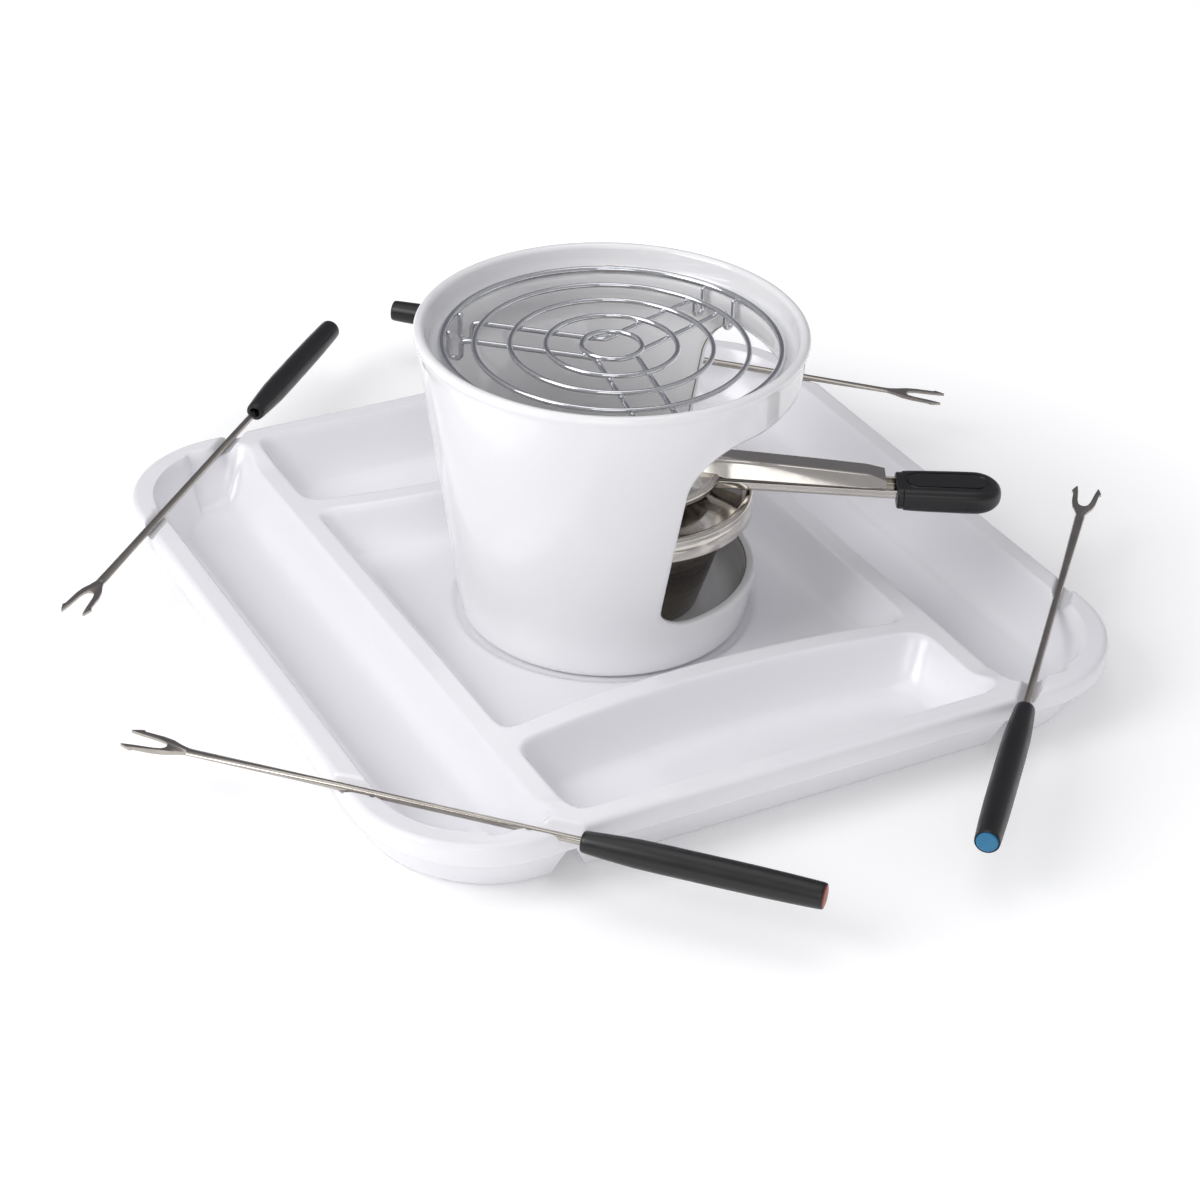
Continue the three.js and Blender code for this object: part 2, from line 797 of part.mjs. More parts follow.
// ---------------------------------------------------------------- forks
// A fork lies along +X with its tips at -X, its rod's axis on Z = 0 and its middle at the origin.
const forkTip = -fork.length / 2;
const forkEnd = fork.length / 2;
const headRoot = forkTip + fork.headLength;
const handleStart = forkEnd - fork.handleLength;

function alongX(geometry) {
  return geometry.rotateY(Math.PI / 2);
}

function forkHandleGeometry() {
  const bore = fork.rodRadius + touchGap;
  const length = fork.handleLength;
  const seat = fork.capRadius + touchGap;
  return alongX(
    turned(
      [
        [0, fork.rodInHandle + touchGap],
        [bore, fork.rodInHandle + touchGap],
        [bore, 0],
        [fork.handleNeckRadius - 0.8, 0],
        [fork.handleNeckRadius, 0.8],
        [fork.handleNeckRadius + 0.7, 4],
        [fork.handleRadius, length * 0.3],
        [fork.handleRadius, length * 0.62],
        [fork.handleEndRadius, length - 1.4],
        [fork.handleEndRadius - 0.4, length - 0.6],
        [seat, length - 0.6],
        [seat, length - fork.capThickness],
        [0, length - fork.capThickness],
      ],
      14,
    ),
  ).translate(handleStart, 0, 0);
}

function forkRodGeometry() {
  const length = handleStart + fork.rodInHandle - headRoot - touchGap;
  const rod = new THREE.CylinderGeometry(fork.rodRadius, fork.rodRadius, length, 10);
  return rod.rotateZ(Math.PI / 2).translate(headRoot + touchGap + length / 2, 0, 0);
}

function forkHeadGeometry() {
  const wide = fork.headHalfWidth;
  const tine = fork.tineWidth;
  const crotch = forkTip + fork.crotchDepth;
  const side = [
    [headRoot, fork.rootHalfWidth],
    [crotch + 3.5, 3.0],
    [crotch, wide - 0.4],
    [forkTip + 4.5, wide + 0.5],
    [forkTip + 3.6, wide + 1.0],
    [forkTip, wide - 0.5],
    [forkTip + 4.5, wide - tine + 0.5],
    [crotch - 3, wide - tine - 0.2],
    [crotch - 0.9, 1.4],
  ];
  const mirrored = side.map(([x, y]) => [x, -y]).reverse();
  const outline = [...side, [crotch, 0], ...mirrored].map(([x, y]) => new THREE.Vector2(x, y));
  const head = new THREE.ExtrudeGeometry(new THREE.Shape(outline), {
    depth: fork.headThickness,
    bevelEnabled: false,
  });
  return head.translate(0, 0, -fork.headThickness / 2);
}

function forkCapGeometry() {
  const cap = fork.capRadius;
  const low = fork.handleLength - fork.capThickness + touchGap;
  return alongX(
    turned(
      [
        [0, low],
        [cap, low],
        [cap, fork.handleLength - 0.5],
        [cap - 0.5, fork.handleLength - 0.1],
        [0, fork.handleLength],
      ],
      14,
    ),
  ).translate(handleStart, 0, 0);
}

// ---------------------------------------------------------------- assembly
function piece(name, geometry, material) {
  const mesh = new THREE.Mesh(geometry, material);
  mesh.name = name;
  return mesh;
}

function buildStandGroup() {
  const group = new THREE.Group();
  group.add(piece("stand", standGeometry(), whiteGlaze));
  const outer = ringGeometry(outerRingRadius, trivet.outerWire, 8, 48);
  group.add(piece("trivet_outer_ring", outer.translate(0, 0, outerRingHeight), chromeWire));
  for (let i = 0; i < trivet.rings; i++) {
    const ring = ringGeometry(trivet.innerRing + i * ringStep, trivet.wire, 6, 24 + 10 * i);
    group.add(piece("trivet_ring_" + (i + 1), ring.translate(0, 0, gridHeight), chromeWire));
  }
  for (let i = 0; i < 3; i++) {
    group.add(piece("trivet_spoke_wire_" + (i + 1), spokeWireGeometry(i), chromeWire));
  }
  group.position.z = standFoot;
  group.rotation.z = degrees(stand.yaw);
  return group;
}

function buildBurnerGroup() {
  const group = new THREE.Group();
  group.add(piece("burner_bowl", bowlGeometry(), steelBowl));
  group.add(piece("burner_fibre", fibreGeometry(), fibreWool));
  group.add(piece("burner_gauze", gauzeGeometry(), gauzeSteel));
  group.add(piece("burner_collar", collarGeometry(), steelSheet));
  group.add(piece("burner_handle", lowerHandleGeometry(), steelSheet));
  group.add(piece("burner_grip", gripGeometry(), blackPlastic));
  group.add(piece("snuffer_lid", lidGeometry(), steelSheet));
  group.add(piece("snuffer_handle", snufferHandleGeometry(), steelSheet));
  const yaw = degrees(burner.yaw);
  group.position.set(burnerOffset * Math.cos(yaw), burnerOffset * Math.sin(yaw), standFoot + burnerFoot);
  group.rotation.z = yaw;
  return group;
}

function buildFork(place) {
  const group = new THREE.Group();
  group.add(piece(place.name + "_handle", forkHandleGeometry(), blackPlastic));
  group.add(piece(place.name + "_rod", forkRodGeometry(), steelSheet));
  group.add(piece(place.name + "_head", forkHeadGeometry(), steelSheet));
  group.add(piece(place.name + "_cap", forkCapGeometry(), finish(place.cap, 0.35, 0)));
  const rimMiddle = halfSide - tray.rimWidth / 2;
  const cornerMiddle = (rimMiddle + halfSide - notch.fromSide) / 2;
  const turn = degrees(place.turn);
  const skewed = degrees(place.turn + place.skew);
  group.position.set(
    place.corner[0] * cornerMiddle - place.aside * Math.sin(turn) + place.along * Math.cos(skewed),
    place.corner[1] * cornerMiddle + place.aside * Math.cos(turn) + place.along * Math.sin(skewed),
    tray.height - notch.depth + fork.rodRadius + touchGap,
  );
  group.rotation.z = skewed;
  return group;
}

const set = new THREE.Group();
set.add(piece("tray", trayGeometry(), whiteMelamine));
set.add(buildStandGroup());
set.add(buildBurnerGroup());
for (const place of forkPlaces) {
  set.add(buildFork(place));
}

export default set;
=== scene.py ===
import bpy, math
from mathutils import Vector, Matrix, kdtree


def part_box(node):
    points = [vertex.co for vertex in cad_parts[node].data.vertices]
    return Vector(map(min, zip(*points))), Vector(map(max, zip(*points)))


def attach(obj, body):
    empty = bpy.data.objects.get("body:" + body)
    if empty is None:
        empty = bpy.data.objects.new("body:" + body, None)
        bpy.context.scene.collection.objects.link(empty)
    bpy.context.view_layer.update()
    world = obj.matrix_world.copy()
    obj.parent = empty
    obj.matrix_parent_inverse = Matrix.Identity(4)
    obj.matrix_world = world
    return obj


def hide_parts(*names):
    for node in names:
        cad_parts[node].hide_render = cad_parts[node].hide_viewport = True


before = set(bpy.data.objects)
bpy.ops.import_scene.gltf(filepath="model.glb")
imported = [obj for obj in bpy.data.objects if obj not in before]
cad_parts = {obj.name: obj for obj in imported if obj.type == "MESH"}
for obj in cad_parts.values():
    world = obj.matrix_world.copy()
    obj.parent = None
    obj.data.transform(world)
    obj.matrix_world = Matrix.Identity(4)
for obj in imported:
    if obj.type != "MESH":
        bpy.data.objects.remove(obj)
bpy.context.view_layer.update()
mm = 0.001
print("frame loaded")

# small helpers
def deselectAll():
    if bpy.context.object and bpy.context.object.mode != "OBJECT":
        bpy.ops.object.mode_set(mode="OBJECT")
    bpy.ops.object.select_all(action="DESELECT")

def makeActive(ob):
    deselectAll()
    ob.select_set(True)
    bpy.context.view_layer.objects.active = ob

def editMode(kind="VERT"):
    bpy.ops.object.mode_set(mode="EDIT")
    bpy.ops.mesh.select_mode(type=kind)
    bpy.ops.mesh.select_all(action="DESELECT")

def objectMode():
    bpy.ops.object.mode_set(mode="OBJECT")

def pickFaces(ob, test):
    objectMode()
    for e in ob.data.edges:
        e.select = False
    for v in ob.data.vertices:
        v.select = False
    for f in ob.data.polygons:
        f.select = bool(test(f))
    bpy.ops.object.mode_set(mode="EDIT")

def addModifier(ob, kind, **settings):
    makeActive(ob)
    mod = ob.modifiers.new(kind.title(), kind)
    for key, value in settings.items():
        setattr(mod, key, value)
    bpy.ops.object.modifier_apply(modifier=mod.name)

def cleanUp(ob, distance=0.00001):
    makeActive(ob)
    bpy.ops.object.mode_set(mode="EDIT")
    bpy.ops.mesh.select_all(action="SELECT")
    bpy.ops.mesh.remove_doubles(threshold=distance)
    bpy.ops.mesh.normals_make_consistent(inside=False)
    objectMode()

def smoothShade(ob, angle=35):
    makeActive(ob)
    bpy.ops.object.shade_smooth_by_angle(angle=math.radians(angle))

def traceLine(name, points):
    # a line of joined edges, drawn by extruding one vertex from point to point
    deselectAll()
    bpy.ops.mesh.primitive_plane_add(size=0.0001, location=(0, 0, 0))
    ob = bpy.context.object
    ob.name = name
    bpy.ops.object.mode_set(mode="EDIT")
    bpy.ops.mesh.select_mode(type="VERT")
    bpy.ops.mesh.select_all(action="SELECT")
    bpy.ops.mesh.merge(type="CENTER")
    bpy.ops.transform.translate(value=points[0])
    for a, b in zip(points, points[1:]):
        step = [q - p for p, q in zip(a, b)]
        bpy.ops.mesh.extrude_region_move(TRANSFORM_OT_translate={"value": step})
    objectMode()
    return ob

def spinProfile(name, profile, steps):
    # profile is (radius, height) in mm, turned once round the Z axis
    ob = traceLine(name, [(r * mm, 0, z * mm) for r, z in profile])
    bpy.ops.object.mode_set(mode="EDIT")
    bpy.ops.mesh.select_all(action="SELECT")
    bpy.ops.mesh.spin(steps=steps, angle=math.tau, center=(0, 0, 0), axis=(0, 0, 1))
    objectMode()
    cleanUp(ob)
    return ob

def arc(cx, cy, r, start, end, steps):
    turn = [math.radians(start + (end - start) * i / steps) for i in range(steps + 1)]
    return [(cx + r * math.cos(t), cy + r * math.sin(t)) for t in turn]

def roundCorners(points, radii, steps=4, closed=True):
    # a profile with its corners rounded, each corner's radius given beside it
    out = []
    n = len(points)
    for i, (p, r) in enumerate(zip(points, radii)):
        if r <= 0 or (not closed and i in (0, n - 1)):
            out.append(tuple(p))
            continue
        p = Vector(p)
        a = (Vector(points[i - 1]) - p)
        b = (Vector(points[(i + 1) % n]) - p)
        reach = min(r, a.length * 0.49, b.length * 0.49)
        a = p + a.normalized() * reach
        b = p + b.normalized() * reach
        for k in range(steps + 1):
            t = k / steps
            out.append(tuple(a * (1 - t) ** 2 + p * 2 * t * (1 - t) + b * t ** 2))
    return out

def prism(name, outline, low, high, axis="Z"):
    # a closed outline filled and extruded; axis "X" takes (y, z) outlines
    if axis == "Z":
        start = [(x * mm, y * mm, low * mm) for x, y in outline]
        step = (0, 0, (high - low) * mm)
    else:
        start = [(low * mm, y * mm, z * mm) for y, z in outline]
        step = ((high - low) * mm, 0, 0)
    ob = traceLine(name, start + start[:1])
    bpy.ops.object.mode_set(mode="EDIT")
    bpy.ops.mesh.select_all(action="SELECT")
    bpy.ops.mesh.remove_doubles(threshold=0.000001)
    bpy.ops.mesh.edge_face_add()
    bpy.ops.mesh.extrude_region_move(TRANSFORM_OT_translate={"value": step})
    objectMode()
    cleanUp(ob)
    return ob

def tubeThrough(name, sections):
    # joins equal closed sections, each a list of points in mm, and caps both ends
    n = len(sections[0])
    ob = traceLine(name, [tuple(c * mm for c in p) for p in sections[0] + sections[0][:1]])
    bpy.ops.object.mode_set(mode="EDIT")
    bpy.ops.mesh.select_all(action="SELECT")
    bpy.ops.mesh.remove_doubles(threshold=0.000001)
    objectMode()
    before = [Vector([c * mm for c in p]) for p in sections[0]]
    step = Vector((0.001, 0, 0))
    for section in sections[1:]:
        bpy.ops.object.mode_set(mode="EDIT")
        bpy.ops.mesh.select_mode(type="VERT")
        bpy.ops.mesh.extrude_region_move(TRANSFORM_OT_translate={"value": (0.001, 0, 0)})
        objectMode()
        after = [Vector([c * mm for c in p]) for p in section]
        for v in ob.data.vertices:
            if v.select:
                v.co = after[min(range(n), key=lambda k: (before[k] + step - v.co).length)]
        before = after
    bpy.ops.object.mode_set(mode="EDIT")
    bpy.ops.mesh.edge_face_add()
    objectMode()
    for v in ob.data.vertices:
        v.select = v.index < n
    for e in ob.data.edges:
        e.select = all(k < n for k in e.vertices)
    bpy.ops.object.mode_set(mode="EDIT")
    bpy.ops.mesh.edge_face_add()
    objectMode()
    cleanUp(ob)
    return ob

def joinUp(first, *others):
    deselectAll()
    for ob in others:
        ob.select_set(True)
    first.select_set(True)
    bpy.context.view_layer.objects.active = first
    bpy.ops.object.join()
    return first

def placeMesh(ob, matrix):
    ob.data.transform(matrix)
    ob.data.update()

def wireFrom(name, points, radius, closed=False, sides=8):
    # round wire along points in mm
    deselectAll()
    curve = bpy.data.curves.new(name, "CURVE")
    curve.dimensions = "3D"
    curve.bevel_depth = radius * mm
    curve.bevel_resolution = sides // 2
    curve.use_fill_caps = not closed
    line = curve.splines.new("POLY")
    line.points.add(len(points) - 1)
    for p, q in zip(line.points, points):
        p.co = (q[0] * mm, q[1] * mm, q[2] * mm, 1)
    line.use_cyclic_u = closed
    ob = bpy.data.objects.new(name, curve)
    bpy.context.scene.collection.objects.link(ob)
    makeActive(ob)
    bpy.ops.object.convert(target="MESH")
    ob = bpy.context.object
    ob.name = name
    cleanUp(ob)
    return ob

def finishPiece(ob, name, material, body, slot, *nodes):
    ob.name = name
    ob.data.name = name
    if material:
        ob.data.materials.clear()
        ob.data.materials.append(material)
    if nodes:
        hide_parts(*nodes)
    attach(ob, body)
    return ob

# materials
def srgb(hexCode):
    parts = [int(hexCode[i:i + 2], 16) / 255 for i in (1, 3, 5)]
    lin = [c / 12.92 if c <= 0.04045 else ((c + 0.055) / 1.055) ** 2.4 for c in parts]
    return (*lin, 1)

def addNode(tree, kind, settings={}, links={}):
    node = tree.nodes.new(kind)
    for key, value in settings.items():
        if isinstance(key, int) or key in node.inputs:
            node.inputs[key].default_value = value
        else:
            setattr(node, key, value)
    for key, source in links.items():
        tree.links.new(source, node.inputs[key])
    return node

def newMaterial(name, color, roughness, metallic=0.0, ior=None):
    mat = bpy.data.materials.new(name)
    mat.use_nodes = True
    tree = mat.node_tree
    shader = tree.nodes["Principled BSDF"]
    shader.inputs["Base Color"].default_value = srgb(color)
    shader.inputs["Roughness"].default_value = roughness
    shader.inputs["Metallic"].default_value = metallic
    if ior:
        shader.inputs["IOR"].default_value = ior
    mat.diffuse_color = srgb(color)
    return mat, tree, shader

def objectNoise(tree, size, detail=3, stretch=(1, 1, 1), turn=0):
    # size is the blob size in mm
    coord = addNode(tree, "ShaderNodeTexCoord")
    place = addNode(tree, "ShaderNodeMapping", {"Scale": stretch, "Rotation": (0, 0, math.radians(turn))},
                    {"Vector": coord.outputs["Object"]})
    return addNode(tree, "ShaderNodeTexNoise", {"Scale": 1000 / size, "Detail": detail},
                   {"Vector": place.outputs[0]})

def ramp(tree, source, low, high, fromLow=0.3, fromHigh=0.7):
    return addNode(tree, "ShaderNodeMapRange",
                   {"From Min": fromLow, "From Max": fromHigh, "To Min": low, "To Max": high},
                   {"Value": source})

def mixColors(tree, factor, first, second):
    node = addNode(tree, "ShaderNodeMix", {"data_type": "RGBA"})
    node.inputs[6].default_value = srgb(first)
    node.inputs[7].default_value = srgb(second)
    tree.links.new(factor, node.inputs[0])
    return node.outputs[2]

def addBump(tree, shader, height, distance, strength=1.0):
    # distance is the relief in mm
    bump = addNode(tree, "ShaderNodeBump", {"Distance": distance * mm, "Strength": strength},
                   {"Height": height})
    tree.links.new(bump.outputs[0], shader.inputs["Normal"])
    return bump

def makeMelamine():
    # moulded melamine: hard, cold white, glossy with faint flow marks and fine use scratches in the gloss
    mat, tree, shader = newMaterial("mouldedMelamine", "#f2f2f5", 0.16, ior=1.6)
    broad = objectNoise(tree, 60, 2)
    fine = objectNoise(tree, 3, 4)
    rough = ramp(tree, broad.outputs[0], 0.13, 0.22)
    tree.links.new(rough.outputs[0], shader.inputs["Roughness"])
    tint = mixColors(tree, broad.outputs[0], "#f5f4f7", "#f0f0f4")
    tree.links.new(tint, shader.inputs["Base Color"])
    wave = objectNoise(tree, 22, 1)
    height = addNode(tree, "ShaderNodeMath", {"operation": "MULTIPLY_ADD", 1: 0.04},
                     {0: fine.outputs[0], 2: wave.outputs[0]})
    addBump(tree, shader, height.outputs[0], 0.05, 0.5)
    return mat

def makeGlaze():
    # glazed stoneware: deep wet gloss over a slightly uneven body
    mat, tree, shader = newMaterial("whiteGlazedStoneware", "#f3f3f2", 0.06, ior=1.52)
    shader.inputs["Coat Weight"].default_value = 0.6
    shader.inputs["Coat Roughness"].default_value = 0.03
    broad = objectNoise(tree, 35, 2)
    tint = mixColors(tree, broad.outputs[0], "#f7f6f7", "#f2f2f4")
    tree.links.new(tint, shader.inputs["Base Color"])
    rough = ramp(tree, broad.outputs[0], 0.05, 0.1)
    tree.links.new(rough.outputs[0], shader.inputs["Roughness"])
    wave = objectNoise(tree, 18, 2)
    addBump(tree, shader, wave.outputs[0], 0.09, 0.5)
    return mat

def makeBareClay():
    # unglazed wiped edge: dry olive brown clay with specks of grog
    mat, tree, shader = newMaterial("bareWipedClay", "#8f8a72", 0.85)
    grain = objectNoise(tree, 0.9, 4)
    tint = mixColors(tree, grain.outputs[0], "#a39c82", "#6f6a55")
    tree.links.new(tint, shader.inputs["Base Color"])
    addBump(tree, shader, grain.outputs[0], 0.08, 0.6)
    return mat

def makeChrome():
    # chrome plated drawn wire: mirror bright, faint draw lines
    mat, tree, shader = newMaterial("chromedWire", "#dcdddf", 0.07, 1.0)
    fine = objectNoise(tree, 1.5, 3)
    rough = ramp(tree, fine.outputs[0], 0.05, 0.14)
    tree.links.new(rough.outputs[0], shader.inputs["Roughness"])
    tint = mixColors(tree, fine.outputs[0], "#e2e3e5", "#c9cbcf")
    tree.links.new(tint, shader.inputs["Base Color"])
    addBump(tree, shader, fine.outputs[0], 0.004, 0.2)
    return mat

def makePolished():
    # pressed stainless sheet, buffed: warm grey mirror with wipe marks and hairline scratches
    mat, tree, shader = newMaterial("buffedStainlessSheet", "#d2cdc6", 0.13, 1.0)
    smear = objectNoise(tree, 14, 3)
    scratch = objectNoise(tree, 0.7, 2, (1, 0.04, 1), 30)
    rough = ramp(tree, smear.outputs[0], 0.08, 0.2)
    tree.links.new(rough.outputs[0], shader.inputs["Roughness"])
    tint = mixColors(tree, smear.outputs[0], "#d9d5cf", "#bfb9b1")
    tree.links.new(tint, shader.inputs["Base Color"])
    addBump(tree, shader, scratch.outputs[0], 0.012, 0.35)
    return mat

def makeBowlSteel():
    # spun stainless bowl left dull: soft horizontal spinning lines
    mat, tree, shader = newMaterial("spunDullStainless", "#8d8781", 0.3, 1.0)
    lines = objectNoise(tree, 0.9, 2, (0.02, 0.02, 1))
    rough = ramp(tree, lines.outputs[0], 0.24, 0.4)
    tree.links.new(rough.outputs[0], shader.inputs["Roughness"])
    smear = objectNoise(tree, 20, 3)
    tint = mixColors(tree, smear.outputs[0], "#99938c", "#77716b")
    tree.links.new(tint, shader.inputs["Base Color"])
    addBump(tree, shader, lines.outputs[0], 0.02, 0.4)
    return mat

def makeForkSteel():
    # drawn and stamped stainless: satin with lengthways draw lines
    mat, tree, shader = newMaterial("satinDrawnStainless", "#b9b3ac", 0.25, 1.0)
    lines = objectNoise(tree, 2.2, 2)
    rough = ramp(tree, lines.outputs[0], 0.14, 0.24)
    tree.links.new(rough.outputs[0], shader.inputs["Roughness"])
    smear = objectNoise(tree, 12, 2)
    tint = mixColors(tree, smear.outputs[0], "#c2bcb5", "#9f9992")
    tree.links.new(tint, shader.inputs["Base Color"])
    addBump(tree, shader, lines.outputs[0], 0.003, 0.3)
    return mat

def makeBlackPlastic():
    # moulded phenolic: near black, satin, with a fine spark-eroded grain
    mat, tree, shader = newMaterial("satinBlackPhenolic", "#1b1b1c", 0.34, ior=1.5)
    grain = objectNoise(tree, 0.5, 3)
    smear = objectNoise(tree, 12, 2)
    rough = ramp(tree, smear.outputs[0], 0.28, 0.4)
    tree.links.new(rough.outputs[0], shader.inputs["Roughness"])
    tint = mixColors(tree, smear.outputs[0], "#121213", "#19191b")
    tree.links.new(tint, shader.inputs["Base Color"])
    addBump(tree, shader, grain.outputs[0], 0.02, 0.3)
    return mat

def makeCapPlastic(name, color, dark):
    # small moulded polypropylene plug, slightly waxy
    mat, tree, shader = newMaterial(name, color, 0.35, ior=1.49)
    soft = objectNoise(tree, 2.5, 2)
    tint = mixColors(tree, soft.outputs[0], color, dark)
    tree.links.new(tint, shader.inputs["Base Color"])
    rough = ramp(tree, soft.outputs[0], 0.3, 0.42)
    tree.links.new(rough.outputs[0], shader.inputs["Roughness"])
    addBump(tree, shader, soft.outputs[0], 0.03, 0.3)
    return mat

def makeGauze():
    # woven steel gauze: crossing wires, drawn 0.8 mm apart so that they show, with painted shade near black in the
    # gaps between them
    mat, tree, shader = newMaterial("wovenSteelGauze", "#8e8a85", 0.45, 1.0)
    coord = addNode(tree, "ShaderNodeTexCoord")
    heights = []
    for axis in ("X", "Y"):
        wave = addNode(tree, "ShaderNodeTexWave",
                       {"bands_direction": axis, "wave_profile": "SIN", "Scale": 1000 / 0.8 / math.tau * 0.5},
                       {"Vector": coord.outputs["Object"]})
        heights.append(wave.outputs["Fac"])
    weave = addNode(tree, "ShaderNodeMath", {"operation": "MAXIMUM"}, {0: heights[0], 1: heights[1]})
    # the gaps between the wires take the near black colour: painted shade in the openings of the weave
    tint = mixColors(tree, weave.outputs[0], "#2c2a28", "#a5a19b")
    tree.links.new(tint, shader.inputs["Base Color"])
    addBump(tree, shader, weave.outputs[0], 0.2, 0.8)
    return mat

def makeFibre():
    # pressed mineral fibre: matt, off white, felted
    mat, tree, shader = newMaterial("pressedMineralFibre", "#dedad0", 0.95)
    tangle = objectNoise(tree, 1.2, 6)
    tint = mixColors(tree, tangle.outputs[0], "#e6e2d9", "#c4bfb3")
    tree.links.new(tint, shader.inputs["Base Color"])
    addBump(tree, shader, tangle.outputs[0], 0.4, 0.9)
    return mat

melamine = makeMelamine()
glaze = makeGlaze()
bareClay = makeBareClay()
chrome = makeChrome()
polished = makePolished()
bowlSteel = makeBowlSteel()
forkSteel = makeForkSteel()
blackPlastic = makeBlackPlastic()
gauzeSteel = makeGauze()
fibre = makeFibre()
capColors = {
    "left": makeCapPlastic("paleGreyPlug", "#b7b1a6", "#a59f94"),
    "front": makeCapPlastic("rustRedPlug", "#a9553c", "#8e4330"),
    "right": makeCapPlastic("midBluePlug", "#2b7ba6", "#226a92"),
    "back": makeCapPlastic("offWhitePlug", "#d3d0c9", "#c3c0b8"),
}
print("materials made")

# tray
trayLow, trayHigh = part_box("tray")
tray = {
    "half": (trayHigh.x - trayLow.x) / 2 / mm,
    "top": trayHigh.z / mm,
    "corner": 47,
    "rim": 8.5,
    "rimRound": 2.8,
    "floor": 3.0,
    "centreFloor": 4.5,
    "seatFloor": 3.2,
    "seatRadius": 57.5,
    "ridgeAt": 88.5,
    "ridgeHalf": 2,
    "ridgeTop": 20,
    "ridgeBow": 9,
    "bowFades": (30, 66, 109.5, 129.5),
    "climbFrom": 121,
    "climbTo": 138,
    "wallSlope": 2.1,
    "wallFillet": 9,
    "cornerBlend": 9,
    "blend": 2.4,
    "notchAt": 95.2,
    "notchDepth": 3.4,
    # reach and height down the outside, flange and lower wall
    "skirt": [(150, 19), (150, 16.9), (149.8, 16.1), (149.3, 15.6), (148.6, 15.5), (148.0, 15.7),
              (147.6, 16.3), (147.4, 18), (145.6, 18), (145.4, 15.6),
              (142.2, 3.2), (141.5, 1.4), (140.6, 0.4), (139.5, 0)],
}

def smoothMin(a, b, k):
    h = max(k - abs(a - b), 0) / k
    return min(a, b) - h * h * k * 0.25

def smoothStep(t):
    t = min(max(t, 0), 1)
    return t * t * (3 - 2 * t)

def roundBox(x, y, box, radii):
    # how far inside a rounded rectangle a point is; radii: right-top, left-top, left-low, right-low
    cx, cy = (box[0] + box[1]) / 2, (box[2] + box[3]) / 2
    hx, hy = (box[1] - box[0]) / 2, (box[3] - box[2]) / 2
    px, py = x - cx, y - cy
    r = radii[0 if px > 0 else 1] if py > 0 else radii[3 if px > 0 else 2]
    qx, qy = abs(px) - hx + r, abs(py) - hy + r
    out = math.hypot(max(qx, 0), max(qy, 0)) + min(max(qx, qy), 0) - r
    return -out

inner = tray["half"] - tray["rim"]
ridgeIn = tray["ridgeAt"] - tray["ridgeHalf"]
ridgeOut = tray["ridgeAt"] + tray["ridgeHalf"]
wide, small = tray["corner"] - tray["rim"], 5
basins = [
    ((-inner, -ridgeOut, -inner, inner), (small, wide, wide, small), tray["floor"]),
    ((ridgeOut, inner, -inner, inner), (wide, small, small, wide), tray["floor"]),
    ((-ridgeIn, ridgeIn, -inner, -ridgeOut), (small,) * 4, tray["floor"]),
    ((-ridgeIn, ridgeIn, ridgeOut, inner), (small,) * 4, tray["floor"]),
    ((-ridgeIn, ridgeIn, -ridgeIn, ridgeIn), (small,) * 4, tray["centreFloor"]),
]

def basinHeight(inside, floor):
    wall = tray["top"] + 0.6 - (inside - 0.3) * tray["wallSlope"] * (1 if inside > 0.3 else 6)
    return -smoothMin(-wall, -floor, tray["wallFillet"])

def bowedY(x, y):
    # the short ridges and their walls bend towards the middle
    near, full, fade, none = tray["bowFades"]
    share = smoothStep((abs(y) - near) / (full - near)) * min(max((none - abs(y)) / (none - fade), 0), 1)
    share *= max(1 - (x / ridgeIn) ** 2, 0)
    return y - math.copysign(tray["ridgeBow"] * share, y)

def trayHeight(x, y):
    s = tray
    edge = roundBox(x, y, (-s["half"], s["half"], -s["half"], s["half"]), (s["corner"],) * 4)
    r = s["rimRound"]
    rim = s["top"] - (r - math.sqrt(max(r * r - max(r - edge, 0) ** 2, 0)))
    reach = max(abs(x), abs(y))
    diagonal = max(abs(x) + abs(y) - 225, 0) * 0.4
    climb = smoothStep((reach + diagonal - s["climbFrom"]) / (s["climbTo"] - s["climbFrom"]))
    cap = min(rim, s["ridgeTop"] + (s["top"] - s["ridgeTop"]) * climb)
    z = cap
    for box, radii, floor in basins:
        inside = roundBox(x, y, box, radii)
        sides = smoothMin(min(x - box[0], box[1] - x), min(y - box[2], box[3] - y), tray["cornerBlend"])
        inside = min(inside, sides)
        if inside > -2:
            z = smoothMin(z, basinHeight(inside, floor), s["blend"])
    # round seat for the stand
    d = math.hypot(x, bowedY(x, y)) - s["seatRadius"]
    if z < s["centreFloor"] + 1:
        z -= (s["centreFloor"] - s["seatFloor"]) * (1 - smoothStep((d + 0.9) / 1.8))
    # notches for the fork rods, cut at 45 degrees across each corner
    if edge < s["rim"] + 8 and min(abs(x), abs(y)) > 60:
        middle = s["half"] - s["rim"] / 2
        across = abs(abs(x) + abs(y) - (middle + s["notchAt"])) / math.sqrt(2)
        low = s["top"] - s["notchDepth"]
        cut = low + max(across - 1.2, 0) ** 2 * 0.42
        z = smoothMin(z, cut, 0.9) if z > low - 3 else z
    return z

def trayLines():
    plan = [(0, 60, 40), (60, 72, 6), (72, 84, 9), (84, 93, 14), (93, 103, 14), (103, 126, 9),
            (126, 138, 10), (138, 150, 22)]
    lines = [0.0]
    for start, end, count in plan:
        lines += [start + (end - start) * (i + 1) / count for i in range(count)]
    return [-u for u in reversed(lines[1:])] + lines

